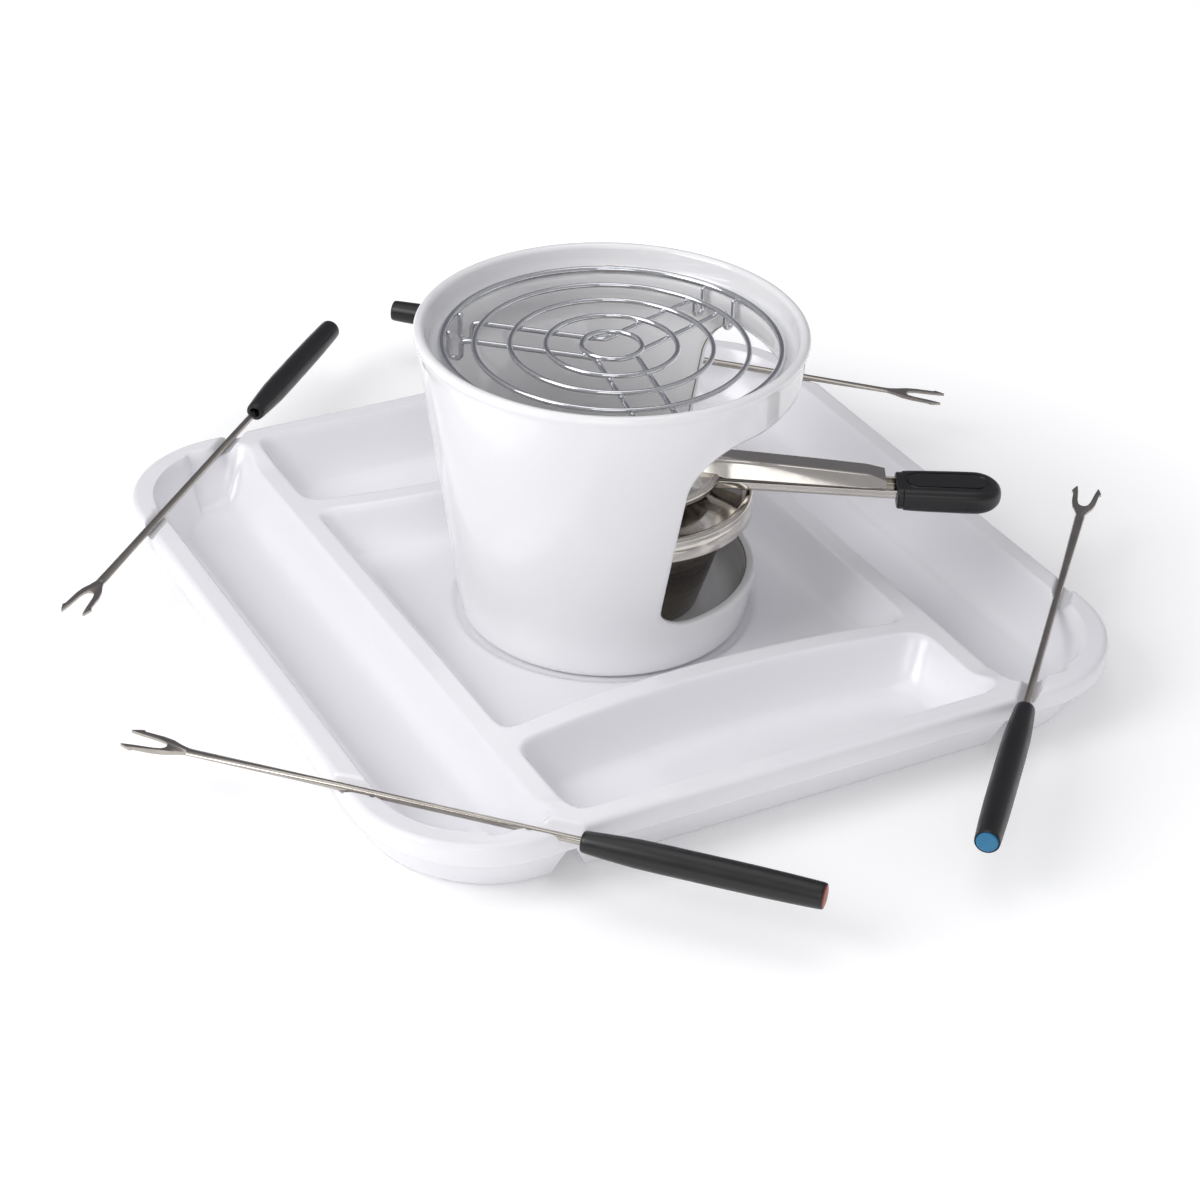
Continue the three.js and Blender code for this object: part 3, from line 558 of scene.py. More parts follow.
def makeTray():
    lines = trayLines()
    count = len(lines) - 1
    deselectAll()
    bpy.ops.mesh.primitive_grid_add(x_subdivisions=count, y_subdivisions=count, size=2)
    ob = bpy.context.object
    flat = tray["half"] - tray["corner"]
    for v in ob.data.vertices:
        i = round((v.co.x + 1) / 2 * count)
        j = round((v.co.y + 1) / 2 * count)
        x, y = lines[i], lines[j]
        a, b = (abs(x) - flat) / tray["corner"], (abs(y) - flat) / tray["corner"]
        if a > 0 and b > 0:  # the grid's square corners become rings round the corner's centre
            reach = tray["corner"] * max(a, b)
            turn = math.pi / 4 * b / a if a >= b else math.pi / 2 - math.pi / 4 * a / b
            x = math.copysign(flat + reach * math.cos(turn), x)
            y = math.copysign(flat + reach * math.sin(turn), y)
        v.co = (x * mm, bowedY(x, y) * mm, trayHeight(x, y) * mm)
    # the turned-down flange, the lower wall and the underside
    makeActive(ob)
    edge = tray["half"]
    editMode()
    objectMode()
    uses = {}
    for f in ob.data.polygons:
        for k in f.edge_keys:
            uses[k] = uses.get(k, 0) + 1
    for e in ob.data.edges:
        e.select = uses[tuple(sorted(e.vertices))] == 1
        if e.select:
            for k in e.vertices:
                ob.data.vertices[k].select = True
    bpy.ops.object.mode_set(mode="EDIT")
    bpy.ops.mesh.select_mode(type="EDGE")
    reach, height = edge, tray["top"] - tray["rimRound"]
    for nextReach, nextHeight in tray["skirt"]:
        bpy.ops.mesh.extrude_edges_move(TRANSFORM_OT_translate={"value": (0, 0, (nextHeight - height) * mm)})
        factor = nextReach / reach
        bpy.ops.transform.resize(value=(factor, factor, 0), center_override=(0, 0, nextHeight * mm))
        reach, height = nextReach, nextHeight
    bpy.ops.mesh.edge_face_add()
    bpy.ops.mesh.select_all(action="SELECT")
    bpy.ops.mesh.normals_make_consistent(inside=False)
    objectMode()
    # hollow under each ridge, open as an arch at both ends
    cutters = []
    hollow = roundCorners([(-8, -1), (8, -1), (1.5, 12), (-1.5, 12)], [0, 0, 3, 3])
    for k, side in enumerate((-1, 1)):
        long = prism("hollowLong%d" % k, hollow, -160, 160, "X")
        turn = Matrix.Rotation(math.radians(90), 4, "Z")
        placeMesh(long, Matrix.Translation((side * tray["ridgeAt"] * mm, 0, 0)) @ turn)
        short = prism("hollowShort%d" % k, hollow, -tray["ridgeAt"], tray["ridgeAt"], "X")
        placeMesh(short, Matrix.Translation((0, side * tray["ridgeAt"] * mm, 0)))
        makeActive(short)
        bpy.ops.object.mode_set(mode="EDIT")
        for i in range(1, 20):
            bpy.ops.mesh.select_all(action="SELECT")
            bpy.ops.mesh.bisect(plane_co=(tray["ridgeAt"] * (i / 10 - 1) * mm, 0, 0), plane_no=(1, 0, 0))
        objectMode()
        for v in short.data.vertices:
            v.co.y = bowedY(v.co.x / mm, v.co.y / mm) * mm
        cutters += [long, short]
    for cutter in cutters:
        addModifier(ob, "BOOLEAN", operation="DIFFERENCE", object=cutter, solver="EXACT")
        bpy.data.objects.remove(cutter)
    smoothShade(ob, 40)
    finishPiece(ob, "trayDish", melamine, "tray", "melamine", "tray")
    return ob

makeTray()
print("tray made")

# stand
standLow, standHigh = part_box("stand")
stand = {
    "foot": 54.7,
    "top": (standHigh.x - standLow.x) / 2 / mm,
    "low": standLow.z / mm,
    "high": (standHigh.z - standLow.z) / mm,
    "wall": 4.2,
    "floor": 4,
    "ledgeTop": 109.2,
    "ledgeInset": 9.2,
    "yaw": -33,
    "steps": 300,
    "winLow": 20.6,
    "winHigh": 98.6,
    "winAngleLow": 64.5,
    "winAngleHigh": 60.5,
    "edgeRound": 1.5,
}
stand["taper"] = (stand["top"] - stand["foot"]) / stand["high"]

def standOuter(z):
    return stand["foot"] + stand["taper"] * z

def standInner(z):
    # the wall's inner surface below the ledge
    s = stand
    ledge = standOuter(s["ledgeTop"]) - s["ledgeInset"]
    t = smoothStep((z - (s["ledgeTop"] - 19)) / 13)
    return (standOuter(z) - s["wall"]) * (1 - t) + ledge * t

def windowOutline(grow):
    # points (angle, height) round the window
    s = stand
    arcs = [(1, s["winAngleHigh"], s["winHigh"], 19, 19, 0, 90),
            (-1, s["winAngleHigh"], s["winHigh"], 19, 19, 90, 180),
            (-1, s["winAngleLow"], s["winLow"], 16, 9, 180, 270), (1, s["winAngleLow"], s["winLow"], 16, 9, 270, 360)]
    points = []
    for side, angle, height, dx, dz, start, end in arcs:
        up = 1 if start < 180 else -1
        cx, cz = side * (angle - dx), height - up * dz
        wideGrow, highGrow = math.degrees(grow / 62), grow
        for i in range(61):
            t = math.radians(start + (end - start) * i / 60)
            points.append((cx + (dx + wideGrow) * math.cos(t), cz + (dz + highGrow) * math.sin(t)))
    dense = []
    for (a, b), (c, d) in zip(points, points[1:] + points[:1]):
        n = max(int(math.hypot((c - a) * 1.08, d - b) / 0.25), 1)
        dense += [(a + (c - a) * i / n, b + (d - b) * i / n) for i in range(n)]
    return dense

def insideOutline(angle, height, outline):
    hit = False
    for (a, b), (c, d) in zip(outline, outline[1:] + outline[:1]):
        if (b > height) != (d > height) and angle < a + (height - b) / (d - b) * (c - a):
            hit = not hit
    return hit

def makeStand():
    s = stand
    levels = [14 + 1.6 * i for i in range(0, 59)]  # the same heights inside and outside
    levels = [z for z in levels if z < s["ledgeTop"] - 2.2]
    lip = s["wall"] / 2
    ledge = standOuter(s["ledgeTop"]) - s["ledgeInset"]
    wallIn = standOuter(s["ledgeTop"]) - s["wall"]
    outer = arc(standOuter(3.4) - 3.4, 3.4, 3.4, -90, 0, 6) + [(standOuter(z), z) for z in (6, 8, 10, 12)]
    outer += [(standOuter(z), z) for z in levels] + [(standOuter(z), z) for z in (108.5, 110.5, 113, 115)]
    rim = arc(s["top"] - lip, s["high"] - lip, lip, 0, 180, 10)
    down = [(wallIn + 0.75, 113), (wallIn + 0.3, 110.6), (wallIn - 0.2, 109.8), (wallIn - 0.9, s["ledgeTop"] + 0.15),
            (wallIn - 1.8, s["ledgeTop"]), (ledge + 0.9, s["ledgeTop"]), (ledge + 0.35, s["ledgeTop"] - 0.2),
            (ledge + 0.05, s["ledgeTop"] - 0.7)]
    innerWall = [(standInner(z), z) for z in reversed(levels)]
    low = [(standInner(z), z) for z in (12.5,)]
    edge = standInner(11) - 7
    low += arc(edge, 11, 7, 0, -90, 7)
    floor = [(edge * k / 6, s["floor"] + 0.05 * (6 - k)) for k in (5, 3, 0)]
    under = [(0, 1.1), (38, 1.1), (43, 0.9), (44.5, 0.1), (46, 0)]
    profile = under + outer + rim + down + innerWall + low + floor
    ob = spinProfile("standShell", profile, s["steps"])
    mesh = ob.data
    # take out the faces inside the window, then pull the opening's edge onto the window's outline
    grown = windowOutline(s["edgeRound"])
    coarse = grown[::6]
    tree = kdtree.KDTree(len(grown))
    scale = 62 * math.pi / 180
    for i, (a, h) in enumerate(grown):
        tree.insert((a * scale, h, 0), i)
    tree.balance()
    polar = {}
    for v in mesh.vertices:
        polar[v.index] = (math.degrees(math.atan2(v.co.y, v.co.x)), v.co.z / mm, math.hypot(v.co.x, v.co.y) / mm)
    gone = set()
    for f in mesh.polygons:
        if f.center.z < s["winLow"] * mm - 0.003 or f.center.z > (s["winHigh"] + 2) * mm:
            continue
        angle = math.degrees(math.atan2(f.center.y, f.center.x))
        radius = math.hypot(f.center.x, f.center.y) / mm
        if abs(angle) > 72 or radius < 45:
            continue
        if insideOutline(angle, f.center.z / mm, coarse):
            gone.add(f.index)
    makeActive(ob)
    editMode("FACE")
    pickFaces(ob, lambda f: f.index in gone)
    bpy.ops.mesh.delete(type="FACE")
    objectMode()
    uses = {}
    for f in mesh.polygons:
        for k in f.edge_keys:
            uses[k] = uses.get(k, 0) + 1
    border = [k for k, n in uses.items() if n == 1]
    touched = {}
    for k in border:
        for index in k:
            v = mesh.vertices[index]
            angle, height = math.degrees(math.atan2(v.co.y, v.co.x)), v.co.z / mm
            radius = math.hypot(v.co.x, v.co.y) / mm
            outside = radius > standOuter(height) - 1
            co, found, dist = tree.find((angle * scale, height, 0))
            a, h = grown[found]
            r = standOuter(h) if outside else standInner(h)
            v.co = (r * math.cos(math.radians(a)) * mm, r * math.sin(math.radians(a)) * mm, h * mm)
            touched[index] = (outside, a, h)
    return ob, touched, border

standShell, windowEdge, windowBorder = makeStand()

def closeWindow(ob, touched, border):
    # a rounded wall of quads from the outer edge of the opening to the inner edge
    s = stand
    mesh = ob.data
    makeActive(ob)
    editMode("EDGE")
    objectMode()
    for k in border:
        for e in k:
            mesh.vertices[e].select = True
    keys = set(border)
    for e in mesh.edges:
        e.select = tuple(sorted(e.vertices)) in keys
    before = len(mesh.vertices)
    bpy.ops.object.mode_set(mode="EDIT")
    bpy.ops.mesh.select_mode(type="EDGE")
    bpy.ops.mesh.bridge_edge_loops(type="PAIRS", number_cuts=9, interpolation="LINEAR")
    objectMode()
    grown = windowOutline(s["edgeRound"])
    tree = kdtree.KDTree(len(grown))
    scale = 62 * math.pi / 180
    for i, (a, h) in enumerate(grown):
        tree.insert((a * scale, h, 0), i)
    tree.balance()
    reach = s["edgeRound"]
    depths = {}
    for v in mesh.vertices[before:]:
        angle, height = math.degrees(math.atan2(v.co.y, v.co.x)), v.co.z / mm
        radius = math.hypot(v.co.x, v.co.y) / mm
        co, found, dist = tree.find((angle * scale, height, 0))
        a, h = grown[found]
        p, q = grown[found - 2], grown[(found + 2) % len(grown)]
        tangent = Vector(((q[0] - p[0]) * scale, q[1] - p[1])).normalized()
        inward = Vector((-tangent.y, tangent.x))  # the outline runs anticlockwise, so this points into the opening
        out, inn = standOuter(h), standInner(h)
        t = (out - radius) / max(out - inn, 0.1)
        depth = t * (out - inn)
        near = min(depth, out - inn - depth)
        depths[v.index] = t
        bulge = reach * math.sqrt(max(1 - (1 - min(near / reach, 1)) ** 2, 0))
        a += inward.x * bulge / scale
        h += inward.y * bulge
        v.co = (radius * math.cos(math.radians(a)) * mm, radius * math.sin(math.radians(a)) * mm, h * mm)
    # the glaze breaks to bare clay along the inner corner of the cut
    mesh.materials.append(glaze)
    mesh.materials.append(bareClay)
    for f in mesh.polygons:
        if all(0.72 < depths.get(k, 0) < 0.93 for k in f.vertices):
            f.material_index = 1
    cleanUp(ob)

closeWindow(standShell, windowEdge, windowBorder)
smoothShade(standShell, 50)
standTurn = Matrix.Rotation(math.radians(stand["yaw"]), 4, "Z")
placeMesh(standShell, Matrix.Translation((0, 0, stand["low"] * mm)) @ standTurn)
finishPiece(standShell, "standPot", None, "stand", "glazed_ceramic", "stand")
print("stand made")

# trivet
ringLow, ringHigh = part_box("trivet_outer_ring")
gridLow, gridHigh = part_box("trivet_ring_2")
def ringReach(node):
    low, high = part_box(node)
    return (high.x - low.x) / 2 / mm

trivet = {
    "outer": 62.2,
    "outerWire": 1.3,
    "wire": 1.0,
    "radii": [ringReach("trivet_ring_%d" % k) - 1.0 for k in (1, 2, 3, 4)],
    "outerZ": (ringLow.z + ringHigh.z) / 2 / mm,
    "gridZ": (gridLow.z + gridHigh.z) / 2 / mm,
    "aside": 7.6,
    "firstSpoke": 19,
    "legOut": 59.9,
    "hookWidth": 4.6,
    "hookDip": 7.6,
    "outerJoint": 62.6,
    "thirdJoint": -103,
}

def weldBead(at, size, squash=0.75, turn=0):
    deselectAll()
    bpy.ops.mesh.primitive_uv_sphere_add(segments=10, ring_count=6, radius=size * mm,
                                         location=[c * mm for c in at], rotation=(0, 0, turn))
    ob = bpy.context.object
    ob.scale = (1.25, 1, squash)
    bpy.ops.object.transform_apply(location=True, rotation=True, scale=True)
    return ob

def makeRing(name, radius, wire, z, joint=None):
    deselectAll()
    bpy.ops.mesh.primitive_torus_add(major_radius=radius * mm, minor_radius=wire * mm, location=(0, 0, z * mm),
                                     major_segments=max(60, int(radius * 3.2)), minor_segments=14)
    ob = bpy.context.object
    bpy.ops.object.transform_apply(location=True, rotation=True, scale=True)
    if joint is not None:  # the butt joint: wire pinched to a fine groove, with a flash of weld each side
        a = math.radians(joint)
        for v in ob.data.vertices:
            turn = (math.atan2(v.co.y, v.co.x) - a + math.pi) % math.tau - math.pi
            arcLength = abs(turn) * radius
            if arcLength < 3:
                core = Vector((radius * mm * math.cos(math.atan2(v.co.y, v.co.x)),
                               radius * mm * math.sin(math.atan2(v.co.y, v.co.x)), z * mm))
                swell = 1 + 0.14 * math.exp(-((arcLength - 0.9) / 0.6) ** 2)
                v.co = core + (v.co - core) * swell
    smoothShade(ob, 60)
    return ob

def makeTrivet():
    s = trivet
    rings = [makeRing("ring", s["outer"], s["outerWire"], s["outerZ"], s["outerJoint"])]
    for k, r in enumerate(s["radii"]):
        rings.append(makeRing("ring", r, s["wire"], s["gridZ"], s["thirdJoint"] if k == 2 else None))
    finishPiece(rings[0], "trivetOuterRing", chrome, "trivet", "chrome_wire", "trivet_outer_ring")
    for k in range(4):
        node = "trivet_ring_%d" % (k + 1)
        finishPiece(rings[k + 1], "trivetRing%d" % (k + 1), chrome, "trivet", "chrome_wire", node)
    spokeZ = s["gridZ"] - 2 * s["wire"] - 0.1
    legOut = math.sqrt(s["legOut"] ** 2 - s["aside"] ** 2)
    legIn = legOut - s["hookWidth"]
    low = spokeZ - s["hookDip"]

    def half(direction, aside):
        along = Vector((math.cos(direction), math.sin(direction), 0))
        across = Vector((-along.y, along.x, 0)) * aside
        bend = s["hookWidth"] / 2
        line = [(r, spokeZ) for r in (9, 14, 20, 28, 36, 44, 50)]
        line += [(legIn - 2.2 + 2.2 * math.sin(t), spokeZ - 2.2 + 2.2 * math.cos(t))
                 for t in [math.radians(a) for a in (0, 18, 36, 54, 72, 90)]]
        line += [(legIn + bend - bend * math.cos(t), low + bend - bend * math.sin(t))
                 for t in [math.radians(a) for a in range(0, 181, 15)]]
        line += [(legOut, spokeZ - 1), (legOut, s["outerZ"] - 0.8)]
        return [along * r + across + Vector((0, 0, z)) for r, z in line]

    for n in range(3):
        first = math.radians(s["firstSpoke"] + 120 * n)
        second = first + math.radians(120)
        middle = (first + second) / 2
        a, b = half(first, s["aside"])[::-1], half(second, -s["aside"])
        centre = Vector((math.cos(middle), math.sin(middle), 0))
        apex = centre * (s["aside"] / math.sin(math.radians(60)) + 0.4) + Vector((0, 0, spokeZ))
        turnIn = [a[-1].lerp(apex, 0.55), a[-1].lerp(apex, 0.82).lerp(b[0].lerp(apex, 0.82), 0.12)]
        turnOut = [b[0].lerp(apex, 0.82).lerp(a[-1].lerp(apex, 0.82), 0.12), b[0].lerp(apex, 0.55)]
        tip = (turnIn[-1] + turnOut[0]) / 2 * 0.5 + apex * 0.5
        wire = wireFrom("spoke", a + turnIn + [tip] + turnOut + b, s["wire"], sides=12)
        beads = []
        for side, angle in ((1, first), (-1, second)):
            along = Vector((math.cos(angle), math.sin(angle), 0))
            across = Vector((-along.y, along.x, 0)) * s["aside"] * side
            for r in s["radii"]:
                dist = math.sqrt(max(r * r - s["aside"] ** 2, 0))
                at = along * dist + across + Vector((0, 0, s["gridZ"] - s["wire"]))
                beads.append(weldBead(at, 0.95, 0.6, angle))
            at = along * legOut + across + Vector((0, 0, s["outerZ"] - 0.7))
            beads.append(weldBead(at, 0.95, 1.1, angle))
        wire = joinUp(wire, *beads)
        smoothShade(wire, 60)
        node = "trivet_spoke_wire_%d" % (n + 1)
        finishPiece(wire, "trivetSpokeWire%d" % (n + 1), chrome, "trivet", "chrome_wire", node)

makeTrivet()
print("trivet made")

# burner and snuffer
bowlLow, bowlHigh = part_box("burner_bowl")
gripLow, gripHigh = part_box("burner_grip")
axisX, axisY = (bowlLow.x + bowlHigh.x) / 2, (bowlLow.y + bowlHigh.y) / 2
handleYaw = math.atan2((gripLow.y + gripHigh.y) / 2 - axisY, (gripLow.x + gripHigh.x) / 2 - axisX)
burnerPlace = Matrix.Translation((axisX, axisY, bowlLow.z)) @ Matrix.Rotation(handleYaw, 4, "Z")
burner = {
    "sheet": 1.0,
    "base": 26.6,
    "mouth": 37,
    "bowlTop": 39.4,
    "collar": 45.3,
    "collarLow": 39.7,
    "collarTop": 48.7,
    "bead": 3.4,
    "cone": 27.5,
    "neck": 24,
    "neckTop": 56.5,
    "holeAngle": 34,
}

def makeBowl():
    s = burner
    wallAt = lambda z: s["base"] + (s["mouth"] - s["base"]) * (z - 1.5) / (s["bowlTop"] - 1.2 - 1.5)
    profile = [(0, 0.8), (19, 0.8), (20.5, 0.75), (21.4, 0.1), (24.6, 0), (25.6, 0.25), (26.3, 0.8), (26.7, 1.8)]
    for z in (4, 8, 12, 16, 20, 24, 28, 32, 35, 37):
        profile.append((wallAt(z) + 0.4 * math.sin((z - 2) / 36 * math.pi), z))
    profile += [(38.2, 38.5), (40, 39.2), (44, 39.4), (44, 40.3), (39.4, 40.2), (36.8, 39.2)]
    profile += [(wallAt(z) - 1.0, z) for z in (36, 30, 20, 10)] + [(25.4, 3.4), (23.6, 2.0), (19, 1.9), (0, 1.9)]
    ob = spinProfile("bowl", profile, 120)
    smoothShade(ob, 50)
    placeMesh(ob, burnerPlace)
    finishPiece(ob, "burnerBowl", bowlSteel, "burner", "bowl_steel", "burner_bowl")

def makeCollar():
    s = burner
    top, outer = s["collarTop"], s["collar"]
    band = [(outer, s["collarLow"] + 0.2), (outer, top - 3.6), (outer - 0.25, top - 3.1), (outer - 0.3, top - 2.6)]
    bead = arc(outer - 0.1 - s["bead"] / 2, top - 1.5, s["bead"] / 2, -25, 190, 14)
    bead = [(r, min(z, top)) for r, z in bead]
    inner = [(outer - s["bead"] - 0.6, top - 2.6), (outer - s["bead"] - 2.2, top - 2.75),
             (36, top - 1.7), (32, top - 0.7),
             (s["cone"], top + 0.75), (s["neck"] + 1.5, top + 1.4), (s["neck"] + 0.5, top + 2.2),
             (s["neck"], top + 3.6),
             (s["neck"], s["neckTop"] - 0.5), (s["neck"] - 0.35, s["neckTop"]), (s["neck"] - 0.85, s["neckTop"]),
             (s["neck"] - 1.2, s["neckTop"] - 0.5), (s["neck"] - 1.2, top + 2.6), (s["neck"] - 0.6, top + 1),
             (s["cone"] - 0.4, top - 0.5), (32, top - 1.9), (36, top - 2.9), (outer - s["bead"] - 2.2, top - 3.9),
             (outer - s["bead"] - 0.2, top - 3.7), (outer - s["sheet"] - 0.3, top - 4.2),
             (outer - s["sheet"], top - 5),
             (outer - s["sheet"], s["collarLow"] + 0.2), (outer - 0.5, s["collarLow"]), (outer, s["collarLow"] + 0.2)]
    ob = spinProfile("collar", band + bead + inner, 160)
    # the small vent hole in the band
    deselectAll()
    bpy.ops.mesh.primitive_cylinder_add(vertices=20, radius=1.1 * mm, depth=8 * mm)
    hole = bpy.context.object
    a = math.radians(s["holeAngle"])
    reach = (outer - 0.5) * mm
    placeMesh(hole, Matrix.Translation((reach * math.cos(a), reach * math.sin(a), (s["collarLow"] + 3) * mm))
              @ Matrix.Rotation(a, 4, "Z") @ Matrix.Rotation(math.radians(90), 4, "Y"))
    addModifier(ob, "BOOLEAN", operation="DIFFERENCE", object=hole, solver="EXACT")
    bpy.data.objects.remove(hole)
    smoothShade(ob, 42)
    placeMesh(ob, burnerPlace)
    finishPiece(ob, "burnerCollar", polished, "burner", "polished_steel", "burner_collar")

def makeFilling():
    pad = [(0, 2.3), (23, 2.3), (24.2, 3.3), (34.2, 36), (33.4, 37.6), (30, 38.1), (0, 38.2)]
    ob = spinProfile("pad", roundCorners(pad, [0, 0, 1, 1, 1, 1, 0], closed=False), 72)
    smoothShade(ob, 60)
    placeMesh(ob, burnerPlace)
    finishPiece(ob, "burnerFibrePad", fibre, "burner", "fibre", "burner_fibre")
    gauze = [(0, 38.6), (32.4, 38.6), (32.9, 38.7), (32.9, 39.0), (32.4, 39.1), (24, 39.15), (0, 39.2)]
    ob = spinProfile("gauze", gauze, 72)
    smoothShade(ob, 60)
    placeMesh(ob, burnerPlace)
    finishPiece(ob, "burnerGauzeDisc", gauzeSteel, "burner", "gauze_steel", "burner_gauze")

lower = {"start": 28, "grip": 98.5, "end": 118, "low": 48.2, "rise": 1.9, "half": 5.7, "high": 3.6, "sheet": 1.0}
upper = {
    "lid": 33,
    "lidLow": 54.4,
    "lidTop": 57.8,
    "crown": 61.1,
    "crownRadius": 9,
    "outerLow": 54.0,
    "noseStart": 87.4,
    "end": 94.2,
}

def makeLowerHandle():
    s = lower
    h, t = s["half"], s["sheet"]

    def section(x, low):
        ring = [(-h, 0), (h, 0), (h, s["high"]), (h - t, s["high"]),
                (h - t, t), (-h + t, t), (-h + t, s["high"]), (-h, s["high"])]
        ring = roundCorners(ring, [1.3, 1.3, 0.35, 0.35, 0.5, 0.5, 0.35, 0.35], 4)
        return [(x, y, low + z) for y, z in ring]

    run = [s["start"], 40, 60, 80, s["grip"] - 2, s["end"]]
    last = s["grip"] - 2
    sections = [section(x, s["low"] + s["rise"] * max(0, last - x) / (last - s["start"])) for x in run]
    ob = tubeThrough("channel", sections)
    smoothShade(ob, 50)
    placeMesh(ob, burnerPlace)
    finishPiece(ob, "burnerHandle", polished, "burner", "polished_steel", "burner_handle")

grip = {
    "start": 98.6,
    "end": 138.0,
    "half": 10,
    "low": 44.4,
    "high": 53.8,
    "dome": 10.5,
    "edge": 3.2,
    "ovalStart": 102,
    "ovalEnd": 133,
    "ovalHalf": 5.2,
}

def makeGrip():
    g = grip
    middle, rise = (g["low"] + g["high"]) / 2, (g["high"] - g["low"]) / 2

    def section(x, wide, high):
        half, tall = g["half"] * wide, rise * high
        r = min(g["edge"], tall * 0.9, half * 0.9)
        ring = []
        for sy, sz, start in ((1, 1, 0), (-1, 1, 90), (-1, -1, 180), (1, -1, 270)):
            ring += arc(sy * (half - r), sz * (tall - r), r, start, start + 90, 7)
        return [(x, y, middle + z) for y, z in ring]

    shoulder = g["end"] - g["dome"]
    steps = [(0, 0.86, 0.84), (0.5, 0.9, 0.89), (2.2, 0.9, 0.89),
             (2.5, 0.94, 0.95), (5, 0.96, 0.97), (12, 0.98, 0.99)]
    sections = [section(g["start"] + x, wide, high) for x, wide, high in steps]
    sections.append(section(shoulder - 6, 1, 1))
    for i in range(13):
        t = math.radians(90 * i / 12.6)
        sections.append(section(shoulder + g["dome"] * math.sin(t), math.cos(t) ** 0.9, math.cos(t) ** 0.55))
    ob = tubeThrough("grip", sections)
    # a long oval groove pressed round the thumb rest
    groove = []
    r = g["ovalHalf"]
    for cx, start in ((g["ovalEnd"] - r, -90), (g["ovalStart"] + r, 90)):
        groove += [(x, y, g["high"] - 0.15) for x, y in arc(cx, 0, r, start, start + 180, 16)]
    cutter = wireFrom("groove", groove, 0.75, closed=True, sides=8)
    pocket = prism("pocket", [(g["start"] - 4, -6.0), (118.3, -6.0), (118.3, 6.0), (g["start"] - 4, 6.0)], 47.9, 52.1)
    for tool in (cutter, pocket):
        addModifier(ob, "BOOLEAN", operation="DIFFERENCE", object=tool, solver="EXACT")
        bpy.data.objects.remove(tool)
    smoothShade(ob, 42)
    placeMesh(ob, burnerPlace)
    finishPiece(ob, "burnerGrip", blackPlastic, "burner", "black_plastic", "burner_grip")

def makeLid():
    s = upper
    r, z0, z1 = s["lid"], s["lidLow"], s["lidTop"]
    profile = [(0, s["crown"]), (s["crownRadius"] - 3, s["crown"]),
               (s["crownRadius"] + 1, s["crown"] - 0.45), (20, s["crown"] - 2.1),
               (r - 2.6, z1 + 0.05), (r - 1.2, z1 - 0.15), (r - 0.35, z1 - 0.7), (r, z1 - 1.6),
               (r, z0 + 0.4), (r - 0.3, z0 + 0.05),
               (r - 0.7, z0 + 0.05), (r - 0.9, z0 + 0.4), (r - 0.9, z1 - 1.7),
               (r - 1.5, z1 - 1.0), (r - 3, z1 - 1.0), (22, z1 - 1.0),
               (s["crownRadius"], s["crown"] - 1), (0, s["crown"] - 1)]
    ob = spinProfile("lid", profile, 120)
    smoothShade(ob, 45)
    placeMesh(ob, burnerPlace)
    finishPiece(ob, "snufferLid", polished, "snuffer", "polished_steel", "snuffer_lid")

def makeUpperHandle():
    s = upper
    t = 0.9

    def section(x, low, high, top, foot):
        ring = [(-foot, 0), (-foot + t * 1.2, 0), (-top + 0.3, high - t), (top - 0.3, high - t),
                (foot - t * 1.2, 0), (foot, 0),
                (top, high), (-top, high)]
        ring = roundCorners(ring, [0.3, 0.3, 0.8, 0.8, 0.3, 0.3, 1.1, 1.1], 4)
        return [(x, y, low + z) for y, z in ring]

    o = s["outerLow"]
    sections = [
        section(7.5, 60.4, 3.6, 4.5, 6.5),
        section(14, 59.6, 4.2, 4.6, 7.0),
        section(22, 58.4, 5.0, 4.7, 7.6),
        section(30, 57.4, 5.0, 4.8, 8.0),
        section(34.2, 56.0, 6.0, 4.7, 8.0),
        section(40, 55.8, 5.9, 4.6, 8.0),
        section(55, 55.2, 5.4, 4.5, 8.0),
        section(70, 54.6, 4.8, 4.5, 8.0),
        section(s["noseStart"] - 0.6, o, 3.9, 4.5, 8.0),
        section(s["noseStart"] + 0.6, o, 3.7, 4.5, 8.0),
        section(s["end"], o, 1.7, 5.6, 7.7),
    ]
    ob = tubeThrough("trough", sections)
    smoothShade(ob, 38)
    placeMesh(ob, burnerPlace)
    finishPiece(ob, "snufferHandle", polished, "snuffer", "polished_steel", "snuffer_handle")

makeBowl()
makeCollar()
makeFilling()
makeLowerHandle()
makeGrip()
makeLid()
makeUpperHandle()
print("burner made")

# forks
fork = {
    "length": 248,
    "rod": 1.4,
    "handle": 82.5,
    "head": 23.5,
    "crotch": 15.5,
    "thick": 1.1,
}

def forkPlace(name):
    capLow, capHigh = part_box("fork_%s_cap" % name)
    rodLow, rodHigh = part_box("fork_%s_rod" % name)
    cap, rod = (capLow + capHigh) / 2, (rodLow + rodHigh) / 2
    way = cap - rod
    yaw = math.atan2(way.y, way.x)
    # the rod runs from the head's root to inside the handle
    start = -fork["length"] / 2 + fork["head"] + 0.3
    end = fork["length"] / 2 - fork["handle"] + 30
    middle = (start + end) / 2
    along = Vector((math.cos(yaw), math.sin(yaw), 0))
    return Matrix.Translation(rod - along * middle * mm) @ Matrix.Rotation(yaw, 4, "Z")

def alongX(ob, start):
    placeMesh(ob, Matrix.Translation((start * mm, 0, 0)) @ Matrix.Rotation(math.radians(90), 4, "Y"))

